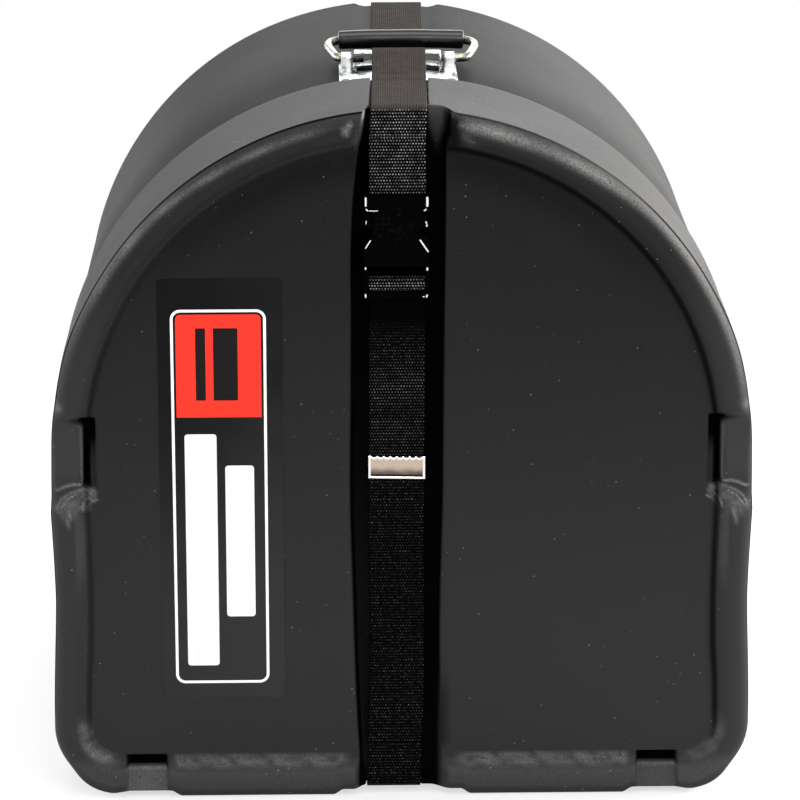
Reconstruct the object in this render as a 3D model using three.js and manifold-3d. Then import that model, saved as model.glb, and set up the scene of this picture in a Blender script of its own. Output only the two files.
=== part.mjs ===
// Drum case for a bass drum: two telescoping moulded plastic shells that stand on a flat side.
// A webbing strap runs round the case in a sunk channel and closes with a side-release buckle.
// A steel handle with a moulded grip is riveted to the crown, and the strap passes over its bar.
// Millimetres, +Z up, X across, the lid faces -Y. The geometry is laid out from the lid's front
// rim at y = 0 and from the floor at z = 0, and the whole model is then centred on its depth.
import * as THREE from "three";
import { mergeVertices } from "three/addons/utils/BufferGeometryUtils.js";
import Module from "manifold-3d";

const wasm = await Module();
wasm.setup();

// Driving dimensions of the case
const caseDepth = 500;
const crownRadius = 316;
const crownHeight = 336;
const cornerRadius = 63;
const footHeight = 5;
const wall = 4.5;
const fit = 0.3;
const overrun = 5;

// Lid
const lidDepth = 140;
const lidClearance = 1.5;
const beadWidth = 34;
const panelSink = 8;
const channelSink = 9;
const channelHalf = 38.5;
const channelDepth = 4.5;
const channelBend = 10;

// Base
const baseDraft = 0.5;
const handleLand = 90;

// Feet moulded into both shells
const footInner = 55;
const footOuter = 213;
const footRamp = 8;
const footSetback = 6;

// Pockets in the lid's bead
const sidePocketLow = 308;
const sidePocketHigh = 369;
const sidePocketInner = 277;
const sidePocketSlot = 12;
const footPocketInner = 218;
const footPocketOuter = 254;
const footPocketTop = 40;
const footPocketSlot = 11;
const notchSink = 7;
const slotSink = 18;

// Label
const labelWidth = 112;
const labelHeight = 402;
const labelLeft = -220;
const labelBottom = 96;
const labelThickness = 0.4;
const labelCorner = 4;

// Webbing
const strapWidth = 50.8;
const strapThickness = 1.8;
const strapShift = -5;
const strapFoldDrop = 10;
const strapCornerRise = 30;
const strapSplitInset = 8;
const strapDescent = 26;
const strapSettle = 4;
const tailSettle = 6;

// Handle
const plateHalf = 54.5;
const plateLength = 81;
const plateThickness = 1.8;
const plateGap = 2;
const plateCorner = 5;
const windowInner = 24;
const windowOuter = 38;
const windowFront = 40;
const windowBack = 62;
const wireRadius = 3.5;
const wirePlay = 0.35;
const wireTip = 36;
const pivotSetback = 62;
const pivotRise = 8;
const knuckleInner = 41.5;
const knuckleOuter = 52.5;
const knuckleFlare = 2;
const bailReach = 60;
const bailLift = 3.5;
const bailShoulder = 60;
const bailCorner = 73.5;
const bailBend = 7.2;
const bailTurn = 16;
const gripRadius = 8.8;
const gripLength = 118;
const gripRound = 2.5;
const barHalf = 40.3;
const barSetback = 67.5;
const barLength = 10;
const barRise = 12.3;

// Rivets and washers
const rivetShank = 2.4;
const rivetHead = 4.2;
const rivetDome = 2;
const rivetTail = 3.4;
const rivetTailHeight = 1.4;
const washerRadius = 4.3;
const washerThickness = 1.5;
const handleRivetX = 49;
const handleRivetFront = 9.4;
const handleRivetBack = 75;
const anchorLow = 300;
const anchorPitch = 34;

// Buckle
const buckleDrop = 173;
const buckleHalf = 29;
const buckleThickness = 12.2;
const buckleSkin = 2.2;
const buckleRail = 3;
const ladderBar = 6;
const ladderSlotLow = 5.5;
const ladderMiddle = 5.5;
const ladderSlotHigh = 13.5;
const ladderFront = 1.5;
const ladderDepth = 4.5;
const housingHeight = 16;
const shoulderHeight = 12.4;
const neckHalf = 21.5;
const neckHeight = 22;
const housingFloor = 3.2;
const maleHeight = 15;
const maleLower = 3.6;
const maleSkin = 2.4;
const maleBarRadius = 2;
const maleBarRise = 5.6;
const loopPlay = 0.35;
const tongueHalf = 5;
const tongueLength = 34;
const prongLength = 36;
const prongWidth = 5.2;
const prongRootX = 15.5;
const prongTipX = 19;
const prongPadOuter = 28.6;
const prongPadTop = 3;
const prongPadHeight = 14;
const prongGap = 0.8;
const prongPlay = 0.6;
const loopLength = 34;

// Strap end and crimped tip
const tailHang = 169;
const tipHeight = 20;
const tipSheet = 0.8;
const tipPlay = 0.1;
const tipHalf = 26.4;
const tipInset = 2;
const toothDepth = 2.5;
const toothCount = 7;

// Sizes that follow from the ones above
const lidTop = crownHeight + crownRadius;
const buckleBottom = lidTop - buckleDrop;
const tipBottom = buckleBottom - tailHang;
const panelY = panelSink;
const channelFloor = panelY + channelSink;
const baseInset = wall + lidClearance;
const baseFront = Math.max(channelFloor, slotSink) + wall + fit;
const baseRadius = crownRadius - baseInset;
const baseTop = lidTop - baseInset;
const baseBack = caseDepth;
const backFloor = baseBack - panelSink - channelSink;
const draftStart = lidDepth + handleLand;
const strapHalf = strapWidth / 2;
const strapLift = fit + strapThickness / 2;
const strapLeft = strapShift - strapHalf;
const strapRight = strapShift + strapHalf;
const handleY = lidDepth + plateGap;
const pivotY = lidDepth + pivotSetback;
const pivotZ = baseTop + pivotRise;

// Colours and finishes
const plastic = { color: 0x2e2e2f, roughness: 0.62, metalness: 0 };
const webbing = { color: 0x1b1a1b, roughness: 0.9, metalness: 0 };
const moulded = { color: 0x0c0c0d, roughness: 0.35, metalness: 0 };
const zinc = { color: 0xc9cbc8, roughness: 0.3, metalness: 1 };
const nickel = { color: 0xbfb2a2, roughness: 0.28, metalness: 1 };
const rubberGrip = { color: 0x151515, roughness: 0.45, metalness: 0 };
const vinyl = { color: 0x111213, roughness: 0.4, metalness: 0 };

// Solids: three.js geometry in, a boolean solid out
function solid(geometry) {
  const bare = geometry.clone();
  bare.deleteAttribute("normal");
  bare.deleteAttribute("uv");
  const merged = mergeVertices(bare);
  return new wasm.Manifold(
    new wasm.Mesh({
      numProp: 3,
      vertProperties: new Float32Array(merged.attributes.position.array),
      triVerts: new Uint32Array(merged.index.array),
    }),
  );
}

function join(first, ...others) {
  return others.reduce((whole, piece) => whole.add(piece), first);
}

function cut(first, ...tools) {
  return tools.reduce((rest, tool) => rest.subtract(tool), first);
}

const drumCase = new THREE.Group();

function place(name, shape, finish) {
  const made = shape.getMesh();
  const geometry = new THREE.BufferGeometry()
    .setAttribute("position", new THREE.BufferAttribute(made.vertProperties, 3))
    .setIndex(new THREE.BufferAttribute(made.triVerts, 1));
  geometry.computeVertexNormals();
  const mesh = new THREE.Mesh(geometry, new THREE.MeshStandardMaterial(finish));
  mesh.name = name;
  drumCase.add(mesh);
}

// A box between two corners
function block(x0, x1, y0, y1, z0, z1) {
  const geometry = new THREE.BoxGeometry(x1 - x0, y1 - y0, z1 - z0);
  return solid(geometry.translate((x0 + x1) / 2, (y0 + y1) / 2, (z0 + z1) / 2));
}

function extrusion(points, depth) {
  const shape = new THREE.Shape(points.map(([u, v]) => new THREE.Vector2(u, v)));
  return new THREE.ExtrudeGeometry(shape, { depth, bevelEnabled: false });
}

// A side profile of (y, z) points, swept across X
function acrossX(points, x0, x1) {
  const turn = new THREE.Matrix4().makeBasis(
    new THREE.Vector3(0, 1, 0),
    new THREE.Vector3(0, 0, 1),
    new THREE.Vector3(1, 0, 0),
  );
  return solid(extrusion(points, x1 - x0).applyMatrix4(turn).translate(x0, 0, 0));
}

// A front profile of (x, z) points, swept along Y
function alongY(points, y0, y1) {
  return solid(extrusion(points, y1 - y0).rotateX(Math.PI / 2).translate(0, y1, 0));
}

// A plan of (x, y) points, swept up Z
function upZ(points, z0, z1) {
  return solid(extrusion(points, z1 - z0).translate(0, 0, z0));
}

function barAlongX(radius, x0, x1, y, z, sides = 24) {
  const geometry = new THREE.CylinderGeometry(radius, radius, x1 - x0, sides);
  return solid(geometry.rotateZ(Math.PI / 2).translate((x0 + x1) / 2, y, z));
}

function barAlongY(radius, x, y0, y1, z, sides = 16) {
  const geometry = new THREE.CylinderGeometry(radius, radius, y1 - y0, sides);
  return solid(geometry.translate(x, (y0 + y1) / 2, z));
}

// Points of an arc from one angle to another, in degrees
function arc(u, v, radius, from, to, steps) {
  return Array.from({ length: steps + 1 }, (_, i) => {
    const angle = THREE.MathUtils.degToRad(from + ((to - from) * i) / steps);
    return [u + radius * Math.cos(angle), v + radius * Math.sin(angle)];
  });
}

function roundedRectangle(u0, u1, v0, v1, radius, steps = 3) {
  return [
    ...arc(u1 - radius, v0 + radius, radius, -90, 0, steps),
    ...arc(u1 - radius, v1 - radius, radius, 0, 90, steps),
    ...arc(u0 + radius, v1 - radius, radius, 90, 180, steps),
    ...arc(u0 + radius, v0 + radius, radius, 180, 270, steps),
  ];
}

// The case's outline from the front, drawn in by an inset: round crown, straight sides, round lower corners
function outline(inset) {
  const cornerX = crownRadius - cornerRadius;
  const cornerZ = footHeight + cornerRadius;
  return [
    ...arc(cornerX, cornerZ, cornerRadius - inset, -90, 0, 5),
    ...arc(0, crownHeight, crownRadius - inset, 0, 180, 44),
    ...arc(-cornerX, cornerZ, cornerRadius - inset, 180, 270, 5),
  ];
}

// A closed body through outlines at several insets and depths, listed from its front cap to its back cap
function shellBody(profile) {
  const rings = profile.map(([inset, y]) => outline(inset).map(([x, z]) => [x, y, z]));
  const count = rings[0].length;
  const index = [];
  for (let ring = 0; ring < rings.length - 1; ring++)
    for (let j = 0; j < count; j++) {
      const k = (j + 1) % count;
      const [a, b, c, d] = [ring * count + j, ring * count + k, (ring + 1) * count + k, (ring + 1) * count + j];
      index.push(a, d, b, b, d, c);
    }
  const last = (rings.length - 1) * count;
  for (let j = 1; j < count - 1; j++) {
    index.push(0, j, j + 1);
    index.push(last, last + j + 1, last + j);
  }
  const geometry = new THREE.BufferGeometry()
    .setAttribute("position", new THREE.Float32BufferAttribute(rings.flat(2), 3))
    .setIndex(index);
  return solid(geometry);
}

// The rolled bead's section, as shares of its width and of the panel's sink, from the panel out to the rim
const beadShares = [
  [1, 1],
  [0.82, 0.72],
  [0.62, 0.26],
  [0.42, 0.03],
  [0.26, 0],
  [0.11, 0.24],
  [0.02, 0.9],
  [0, 1.4],
];

function beadProfile(inset, rim, inward) {
  return beadShares.map(([across, deep]) => [inset + across * beadWidth, rim + inward * deep * panelSink]);
}

// Feet with ramped ends, drawn in by a wall where they are hollow
function feet(y0, y1, top, inward) {
  return [-1, 1].map((side) => {
    const section = [
      [footInner + inward, top],
      [footInner + footRamp + inward, inward],
      [footOuter - footRamp - inward, inward],
      [footOuter - inward, top],
    ];
    return alongY(section.map(([x, z]) => [side * x, z]), y0, y1);
  });
}

// The sunk strap channel over the crown, down one end and along the bottom. facing is -1 for the lid, whose
// end looks along -Y, and 1 for the base. grow widens and deepens the cut, to leave a wall behind it.
function strapChannel({ facing, half, endFloor, mouth, inset, draftFrom, draft, grow }) {
  const reach = half + grow;
  const floorY = endFloor - facing * grow;
  const bendY = floorY - facing * channelBend;
  const beyond = endFloor + facing * (channelFloor + overrun);
  const top = lidTop - inset - channelDepth - grow;
  const topEnd = top - draft - channelBend;
  const bottom = footHeight + inset + channelDepth + grow;
  const bottomEnd = bottom + draft + channelBend;
  const [turn, back] = facing < 0 ? [180, 180] : [0, 360];
  const crown = [
    [mouth, top],
    [draftFrom, top],
    ...arc(bendY, topEnd, channelBend, 90, turn, 5),
    [beyond, topEnd],
    [beyond, lidTop + overrun],
    [mouth, lidTop + overrun],
  ];
  const under = [
    [mouth, bottom],
    [draftFrom, bottom],
    ...arc(bendY, bottomEnd, channelBend, 270, back, 5),
    [beyond, bottomEnd],
    [beyond, -overrun],
    [mouth, -overrun],
  ];
  const face = [
    [floorY, topEnd],
    [floorY, bottomEnd],
    [beyond, bottomEnd],
    [beyond, topEnd],
  ];
  return [crown, under, face].map((points) => acrossX(points, -reach, reach));
}

// Pockets for tie-downs in the bead: a shallow notch out to the edge and a deeper slot inside it
function pockets(grow) {
  const made = [];
  for (const side of [-1, 1]) {
    const across = (from, to) => (side > 0 ? [from - grow, to + grow] : [-to - grow, -from + grow]);
    const notch = [-overrun, notchSink + grow];
    const slot = [-overrun, slotSink + grow];
    const height = [sidePocketLow - grow, sidePocketHigh + grow];
    made.push(block(...across(sidePocketInner, crownRadius + overrun), ...notch, ...height));
    made.push(block(...across(sidePocketInner, sidePocketInner + sidePocketSlot), ...slot, ...height));
    const foot = across(footPocketInner, footPocketOuter);
    made.push(block(...foot, ...notch, -overrun, footPocketTop + grow));
    made.push(block(...foot, ...slot, footPocketTop - footPocketSlot - grow, footPocketTop + grow));
  }
  return made;
}

// Lid shell
function lidShell() {
  const channel = (grow) => {
    const run = { endFloor: channelFloor, mouth: lidDepth + overrun, draftFrom: lidDepth };
    return strapChannel({ facing: -1, half: channelHalf, inset: 0, draft: 0, grow, ...run });
  };
  const outer = shellBody([...beadProfile(0, 0, 1), [0, lidDepth]]);
  const inner = shellBody([...beadProfile(wall, wall, 1), [wall, lidDepth + overrun]]);
  const skin = join(outer, ...feet(footSetback, lidDepth, footHeight + wall, 0));
  const hollow = join(
    cut(inner, ...channel(wall), ...pockets(wall)),
    ...feet(slotSink + wall, lidDepth + overrun, footHeight + wall, wall),
  );
  return cut(skin, hollow, ...channel(0), ...pockets(0));
}

// Base shell
function baseBody(inward, front) {
  return shellBody([
    [baseInset + inward, front],
    [baseInset + inward, draftStart],
    ...beadProfile(baseInset + baseDraft + inward, baseBack - inward, -1).reverse(),
  ]);
}

function baseChannel(grow) {
  const run = { endFloor: backFloor, mouth: baseFront - overrun, draftFrom: draftStart, draft: baseDraft };
  const hidden = channelHalf + wall + lidClearance + grow;
  const covered = [baseFront - overrun, handleY + grow];
  const upper = [lidTop - baseInset - channelDepth - grow, lidTop + overrun];
  const lower = [-overrun, footHeight + baseInset + channelDepth + grow];
  return [
    ...strapChannel({ facing: 1, half: channelHalf, inset: baseInset, grow, ...run }),
    block(-hidden, hidden, ...covered, ...upper),
    block(-hidden, hidden, ...covered, ...lower),
  ];
}

// The mouth is rounded where the lid's channel turns from its face to its skirt
function mouthRounds() {
  const reach = channelHalf + wall + lidClearance;
  const radius = channelBend - lidClearance;
  const before = baseFront - overrun;
  const bendY = channelFloor + wall + channelBend;
  const upper = lidTop - baseInset - channelDepth;
  const lower = footHeight + baseInset + channelDepth;
  const crown = [
    [before, upper - radius],
    ...arc(bendY, upper - radius, radius, 180, 90, 5),
    [bendY, upper + overrun],
    [before, upper + overrun],
  ];
  const under = [
    [before, lower + radius],
    ...arc(bendY, lower + radius, radius, 180, 270, 5),
    [bendY, lower - overrun],
    [before, lower - overrun],
  ];
  return [crown, under].map((points) => acrossX(points, -reach, reach));
}

// Where a piece on the crown leans, and a body carried from the crown's axis out to it
function onCrown(geometry, x, y) {
  return solid(geometry.rotateX(Math.PI / 2).rotateY(Math.asin(x / baseRadius)).translate(0, y, crownHeight));
}

const shellInside = baseRadius - wall;
const plateUnder = baseRadius + fit;
const plateOver = plateUnder + plateThickness;

function crownHole(x, y) {
  const radius = rivetShank + fit;
  const length = plateOver - shellInside + 2 * overrun;
  const geometry = new THREE.CylinderGeometry(radius, radius, length, 16);
  return onCrown(geometry.translate(0, (plateOver + shellInside) / 2, 0), x, y);
}

const handleRivets = {
  front_left: [-handleRivetX, handleY + handleRivetFront],
  front_right: [handleRivetX, handleY + handleRivetFront],
  back_left: [-handleRivetX, handleY + handleRivetBack],
  back_right: [handleRivetX, handleY + handleRivetBack],
};
const anchorRivets = { low: anchorLow, high: anchorLow + anchorPitch };
const anchorHoles = Object.values(anchorRivets).map((z) =>
  barAlongY(rivetShank + fit, strapShift, backFloor - wall - overrun, baseBack + overrun, z),
);
const handleHoles = Object.values(handleRivets).map(([x, y]) => crownHole(x, y));

function baseShell() {
  const footTop = footHeight + baseInset + wall;
  const footEnds = [lidDepth + footSetback, backFloor];
  const skin = join(baseBody(0, baseFront), ...feet(...footEnds, footTop, 0));
  const hollow = join(
    cut(baseBody(wall, baseFront - overrun), ...baseChannel(wall)),
    ...feet(footEnds[0] + wall, footEnds[1] - wall, footTop, wall),
  );
  return cut(skin, hollow, ...baseChannel(0), ...mouthRounds(), ...handleHoles, ...anchorHoles);
}

// Label, a thin vinyl card on the left panel
function labelCard() {
  const points = roundedRectangle(
    labelLeft,
    labelLeft + labelWidth,
    labelBottom,
    labelBottom + labelHeight,
    labelCorner,
  );
  return alongY(points, panelY - labelThickness, panelY);
}

// Webbing: a ribbon of even thickness along a centre line of (y, z) points
function ribbonOutline(line) {
  const half = strapThickness / 2;
  const sides = line.map(([u, v], i) => {
    const [u0, v0] = line[Math.max(i - 1, 0)];
    const [u1, v1] = line[Math.min(i + 1, line.length - 1)];
    const before = new THREE.Vector2(u - u0, v - v0).normalize();
    const after = new THREE.Vector2(u1 - u, v1 - v).normalize();
    if (i === 0) before.copy(after);
    if (i === line.length - 1) after.copy(before);
    const along = before.clone().add(after).normalize();
    const reach = half / along.dot(after);
    return [
      [u - along.y * reach, v + along.x * reach],
      [u + along.y * reach, v - along.x * reach],
    ];
  });
  return [...sides.map((pair) => pair[0]), ...sides.map((pair) => pair[1]).reverse()];
}

function strap(line) {
  return acrossX(ribbonOutline(line), strapLeft, strapRight);
}

// Levels of the webbing's centre line
const frontY = channelFloor - strapLift;
const backY = backFloor + strapLift;
const lidCrownZ = lidTop - channelDepth + strapLift;
const lidUnderZ = footHeight + channelDepth - strapLift;
const baseCrownZ = baseTop - channelDepth + strapLift;
const baseUnderZ = footHeight + baseInset + channelDepth - strapLift;
const bendRadius = channelBend + strapLift;
const lidBendY = frontY + bendRadius;
const backBendY = backY - bendRadius;
const lidSplit = lidDepth - strapSplitInset;
const foldZ = lidCrownZ - bendRadius;
const backFoldZ = baseCrownZ - baseDraft - bendRadius;
const backTurnZ = baseUnderZ + baseDraft + bendRadius;

// Places on the buckle
const buckleBack = channelFloor - fit;
const buckleFront = buckleBack - buckleThickness;
const lowSlotZ = buckleBottom + ladderBar;
const middleBarZ = lowSlotZ + ladderSlotLow;
const highSlotZ = middleBarZ + ladderMiddle;
const housingZ = highSlotZ + ladderSlotHigh;
const shoulderZ = housingZ + housingHeight;
const neckZ = shoulderZ + shoulderHeight;
const neckTopZ = neckZ + neckHeight;
const ladderY = buckleFront + ladderFront;
const ladderBackY = ladderY + ladderDepth;
const maleZ = neckTopZ + fit;
const maleTopZ = maleZ + maleHeight;
const maleBarZ = maleZ + maleLower + maleBarRise;
const loopInner = maleBarRadius + loopPlay;
const loopRadius = loopInner + strapThickness / 2;
const maleBarY = buckleFront + maleSkin + loopPlay + strapThickness + loopInner;
const loopFrontY = maleBarY - loopRadius;
const loopBackY = maleBarY + loopRadius;

// The upper webbing loops round the male half's bar and is sewn to itself above it
const foldStart = [frontY, foldZ - strapFoldDrop];
const upperRun = foldStart[1] - maleTopZ;
const leanOf = (z) => loopFrontY + ((foldStart[0] - loopFrontY) * Math.max(0, z - maleTopZ)) / upperRun;
const layerStep = strapThickness + fit;
const sewnZ = maleTopZ + loopPlay + layerStep;

function upperLoop() {
  return strap([
    [leanOf(maleBarZ + loopLength) + layerStep, maleBarZ + loopLength],
    [leanOf(sewnZ) + layerStep, sewnZ],
    ...arc(maleBarY, maleBarZ, loopRadius, 0, -180, 8),
    [loopFrontY, maleTopZ],
    [foldStart[0], foldStart[1] - fit],
  ]);
}

function crownLid() {
  return strap([foldStart, ...arc(lidBendY, foldZ, bendRadius, 180, 90, 6), [lidSplit, lidCrownZ]]);
}

// The bridge of the handle, which holds the webbing off the crown
const barY = lidDepth + barSetback;
const barZ = baseTop + barRise;
const overBarZ = barZ + strapLift;
const barMiddle = barY + barLength / 2;
const plateStrapZ = crownHeight + plateOver + strapLift;

function crownSpan() {
  return strap([
    [lidSplit + fit, lidCrownZ],
    [handleY, Math.max(plateStrapZ, lidCrownZ)],
    [handleY + strapSplitInset, plateStrapZ],
    [barY - strapThickness, overBarZ - fit],
    [barY + strapThickness, overBarZ],
    [barMiddle, overBarZ],
  ]);
}

function crownBase() {
  const barEnd = barY + barLength;
  return strap([
    [barMiddle + fit, overBarZ],
    [barEnd + fit, overBarZ],
    [barEnd + strapThickness, overBarZ - strapThickness / 2],
    [barEnd + strapDescent - strapSettle, baseCrownZ + strapThickness / 2],
    [barEnd + strapDescent, baseCrownZ],
    ...arc(backBendY, backFoldZ, bendRadius, 90, 0, 6),
    [backY, backFoldZ - strapCornerRise],
  ]);
}

function backRun() {
  const webbingRun = strap([
    [backY, backFoldZ - strapCornerRise - fit],
    [backY, backTurnZ + strapCornerRise + fit],
  ]);
  return cut(webbingRun, ...anchorHoles);
}

function floorBase() {
  return strap([
    [backY, backTurnZ + strapCornerRise],
    ...arc(backBendY, backTurnZ, bendRadius, 0, -90, 6),
    [draftStart, baseUnderZ],
    [draftStart - handleLand / 2, baseUnderZ],
  ]);
}

function floorSpan() {
  return strap([
    [draftStart - handleLand / 2 - fit, baseUnderZ],
    [draftStart - handleLand / 2 - strapSplitInset, baseUnderZ],
    [handleY + strapThickness, lidUnderZ],
    [lidSplit + fit, lidUnderZ],
  ]);
}

function floorLid() {
  return strap([
    [lidSplit, lidUnderZ],
    ...arc(lidBendY, lidUnderZ + bendRadius, bendRadius, -90, -180, 6),
    [frontY, lidUnderZ + bendRadius + strapCornerRise],
  ]);
}

// The lower webbing climbs the face, threads the ladder's upper slot and turns over its middle bar
const wrapY = ladderY - fit - strapThickness / 2;
const middleZ = middleBarZ + ladderMiddle / 2;
const wrapTop = highSlotZ + strapThickness + strapLift;
const wrapLow = (lowSlotZ + middleBarZ) / 2;
const tailY = frontY - strapThickness - fit;
const tipY = tailY - tipSheet - tipPlay;

function frontLower() {
  return strap([
    [frontY, lidUnderZ + bendRadius + strapCornerRise + fit],
    [frontY, middleBarZ - strapThickness],
    [(frontY + ladderBackY) / 2 + strapThickness, highSlotZ],
    [ladderBackY + strapThickness / 2, wrapTop - strapThickness / 2],
    [(ladderY + ladderBackY) / 2, wrapTop],
    [ladderY - fit, wrapTop - fit],
    [wrapY, highSlotZ + strapThickness / 2],
    [wrapY, middleZ + fit],
  ]);
}

function tail() {
  return strap([
    [wrapY, middleZ],
    [wrapY, middleBarZ - fit],
    [ladderY + strapThickness / 2, wrapLow - fit],
    [ladderBackY + strapThickness / 2, wrapLow - strapThickness],
    [tailY - fit, buckleBottom + strapThickness],
    [tailY, buckleBottom - tailSettle],
    [tailY, tipBottom + tipHeight + strapWidth],
    [tipY, tipBottom + tipHeight + strapThickness],
    [tipY, tipBottom + tipInset],
  ]);
}

// The crimped tip: a folded sheet with a saw-toothed upper edge
function strapTip() {
  const gap = strapThickness / 2 + tipPlay;
  const outer = gap + tipSheet;
  const top = tipBottom + tipHeight;
  const folded = block(strapShift - tipHalf, strapShift + tipHalf, tipY - outer, tipY + outer, tipBottom, top);
  const slotFloor = tipBottom + tipInset - tipPlay;
  const slot = block(strapLeft - overrun, strapRight + overrun, tipY - gap, tipY + gap, slotFloor, top + overrun);
  const pitch = (2 * tipHalf) / toothCount;
  const notches = Array.from({ length: toothCount + 1 }, (_, i) => {
    const x = strapShift - tipHalf + i * pitch;
    const points = [
      [x - pitch / 2, top + overrun],
      [x - pitch / 4, top],
      [x, top - toothDepth],
      [x + pitch / 4, top],
      [x + pitch / 2, top + overrun],
    ];
    return alongY(points, tipY - outer - overrun, tipY + outer + overrun);
  });
  return cut(folded, slot, ...notches);
}

// The buckle's female half: a ladder for the webbing, a housing with round shoulders, and an open neck
function buckleFemale() {
  const centre = strapShift;
  const inner = buckleHalf - buckleRail;
  const flare = buckleHalf - neckHalf;
  const right = arc(0, 0, 1, 0, 90, 5).map(([u, v]) => [buckleHalf - flare * (1 - u), shoulderZ + shoulderHeight * v]);
  const half = [[buckleHalf, buckleBottom], ...right, [neckHalf, neckTopZ]];
  const points = [
    ...half.map(([x, z]) => [centre + x, z]),
    ...half.reverse().map(([x, z]) => [centre - x, z]),
  ];
  const body = alongY(points, buckleFront, buckleBack);
  const slot = (z0, z1) =>
    block(centre - inner, centre + inner, buckleFront - overrun, buckleBack + overrun, z0, z1);
  const wide = [centre - buckleHalf - overrun, centre + buckleHalf + overrun];
  const skinY = [buckleFront + buckleSkin, buckleBack - buckleSkin];
  return cut(
    body,
    slot(lowSlotZ, middleBarZ),
    slot(highSlotZ, housingZ),
    block(...wide, buckleFront - overrun, ladderY, buckleBottom - overrun, housingZ),
    block(...wide, ladderBackY, buckleBack + overrun, buckleBottom - overrun, housingZ),
    block(centre - inner, centre + inner, ...skinY, housingZ + housingFloor, neckTopZ + overrun),
    block(...wide, ...skinY, shoulderZ + strapThickness, neckTopZ + overrun),
  );
}

// The male half: a body with a hidden bar for the webbing loop, and a guide tongue
const prongY = [buckleFront + buckleSkin + prongGap, buckleBack - buckleSkin - prongGap];

function buckleMale() {
  const centre = strapShift;
  const inner = buckleHalf - buckleRail;
  const body = block(centre - buckleHalf, centre + buckleHalf, buckleFront, buckleBack, maleZ, maleTopZ);
  const mouth = block(
    centre - inner,
    centre + inner,
    buckleFront + maleSkin,
    buckleBack + overrun,
    maleZ + maleLower,
    maleTopZ + overrun,
  );
  const bar = barAlongX(
    maleBarRadius,
    centre - buckleHalf + buckleRail / 2,
    centre + buckleHalf - buckleRail / 2,
    maleBarY,
    maleBarZ,
    16,
  );
  const tongue = block(
    centre - tongueHalf,
    centre + tongueHalf,
    ...prongY,
    maleZ - tongueLength,
    maleZ + maleLower / 2,
  );
  return join(cut(body, mouth), bar, tongue);
}

// A springy prong with its pad; side is -1 on the left and 1 on the right
function prong(side) {
  const top = maleZ - prongPlay;
  const low = top - prongLength;
  const half = prongWidth / 2;
  const padTop = top - prongPadTop;
  const padLow = padTop - prongPadHeight;
  const along = (z) => prongRootX + ((prongTipX - prongRootX) * (top - z)) / prongLength;
  const points = [
    [along(top) - half, top],
    [along(low) - half, low + half],
    [along(low), low],
    [along(low) + half, low + half],
    [along(padLow) + half, padLow],
    [prongPadOuter - half / 2, padLow + half],
    [prongPadOuter, padTop - half],
    [prongPadOuter - half, padTop],
    [along(padTop) + half, padTop + fit],
    [along(top) + half, top],
  ];
  return alongY(points.map(([x, z]) => [strapShift + side * x, z]), ...prongY);
}

// Handle plate: a curved stamping with two raised knuckles for the wire and a bridge for the webbing
const knuckleBore = wireRadius + wirePlay;
const knuckleRound = knuckleBore + plateThickness;

function crownSheet(inner, outer, y0, y1) {
  const spread = THREE.MathUtils.radToDeg(Math.asin(plateHalf / outer));
  return alongY(
    [
      ...arc(0, crownHeight, outer, 90 - spread, 90 + spread, 12),
      ...arc(0, crownHeight, inner, 90 + spread, 90 - spread, 12),
    ],
    y0,
    y1,
  );
}

function knuckle(side) {
  const foot = pivotZ - pivotRise - channelDepth - plateThickness;
  const arch = (radius) => [
    [pivotY - radius - knuckleFlare, foot],
    ...arc(pivotY, pivotZ, radius, 180, 0, 12),
    [pivotY + radius + knuckleFlare, foot],
  ];
  const from = side < 0 ? -knuckleOuter : knuckleInner;
  const to = side < 0 ? -knuckleInner : knuckleOuter;
  const opening = arch(knuckleBore).map(([y, z]) => [y, z === foot ? foot - overrun : z]);
  return cut(acrossX(arch(knuckleRound), from, to), acrossX(opening, from - overrun, to + overrun));
}

function handlePlate() {
  const ends = [handleY, handleY + plateLength];
  const rounded = upZ(
    roundedRectangle(-plateHalf, plateHalf, ...ends, plateCorner),
    baseTop - plateHalf,
    baseTop + plateHalf,
  );
  const sheet = crownSheet(plateUnder, plateOver, ...ends).intersect(rounded);
  const windows = [-1, 1].map((side) => {
    const [from, to] = side < 0 ? [-windowOuter, -windowInner] : [windowInner, windowOuter];
    return block(from, to, handleY + windowFront, handleY + windowBack, baseTop - plateHalf, lidTop + plateHalf);
  });
  const legFoot = baseTop - channelDepth;
  const bridge = cut(
    block(-barHalf, barHalf, barY, barY + barLength, legFoot, barZ),
    block(
      plateThickness - barHalf,
      barHalf - plateThickness,
      barY - overrun,
      barY + barLength + overrun,
      legFoot - overrun,
      barZ - plateThickness,
    ),
  );
  const raised = cut(
    join(knuckle(-1), knuckle(1), bridge),
    barAlongY(plateUnder + fit, 0, handleY, handleY + plateLength, crownHeight, 256),
  );
  return cut(join(cut(sheet, ...windows), raised), ...handleHoles);
}

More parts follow.
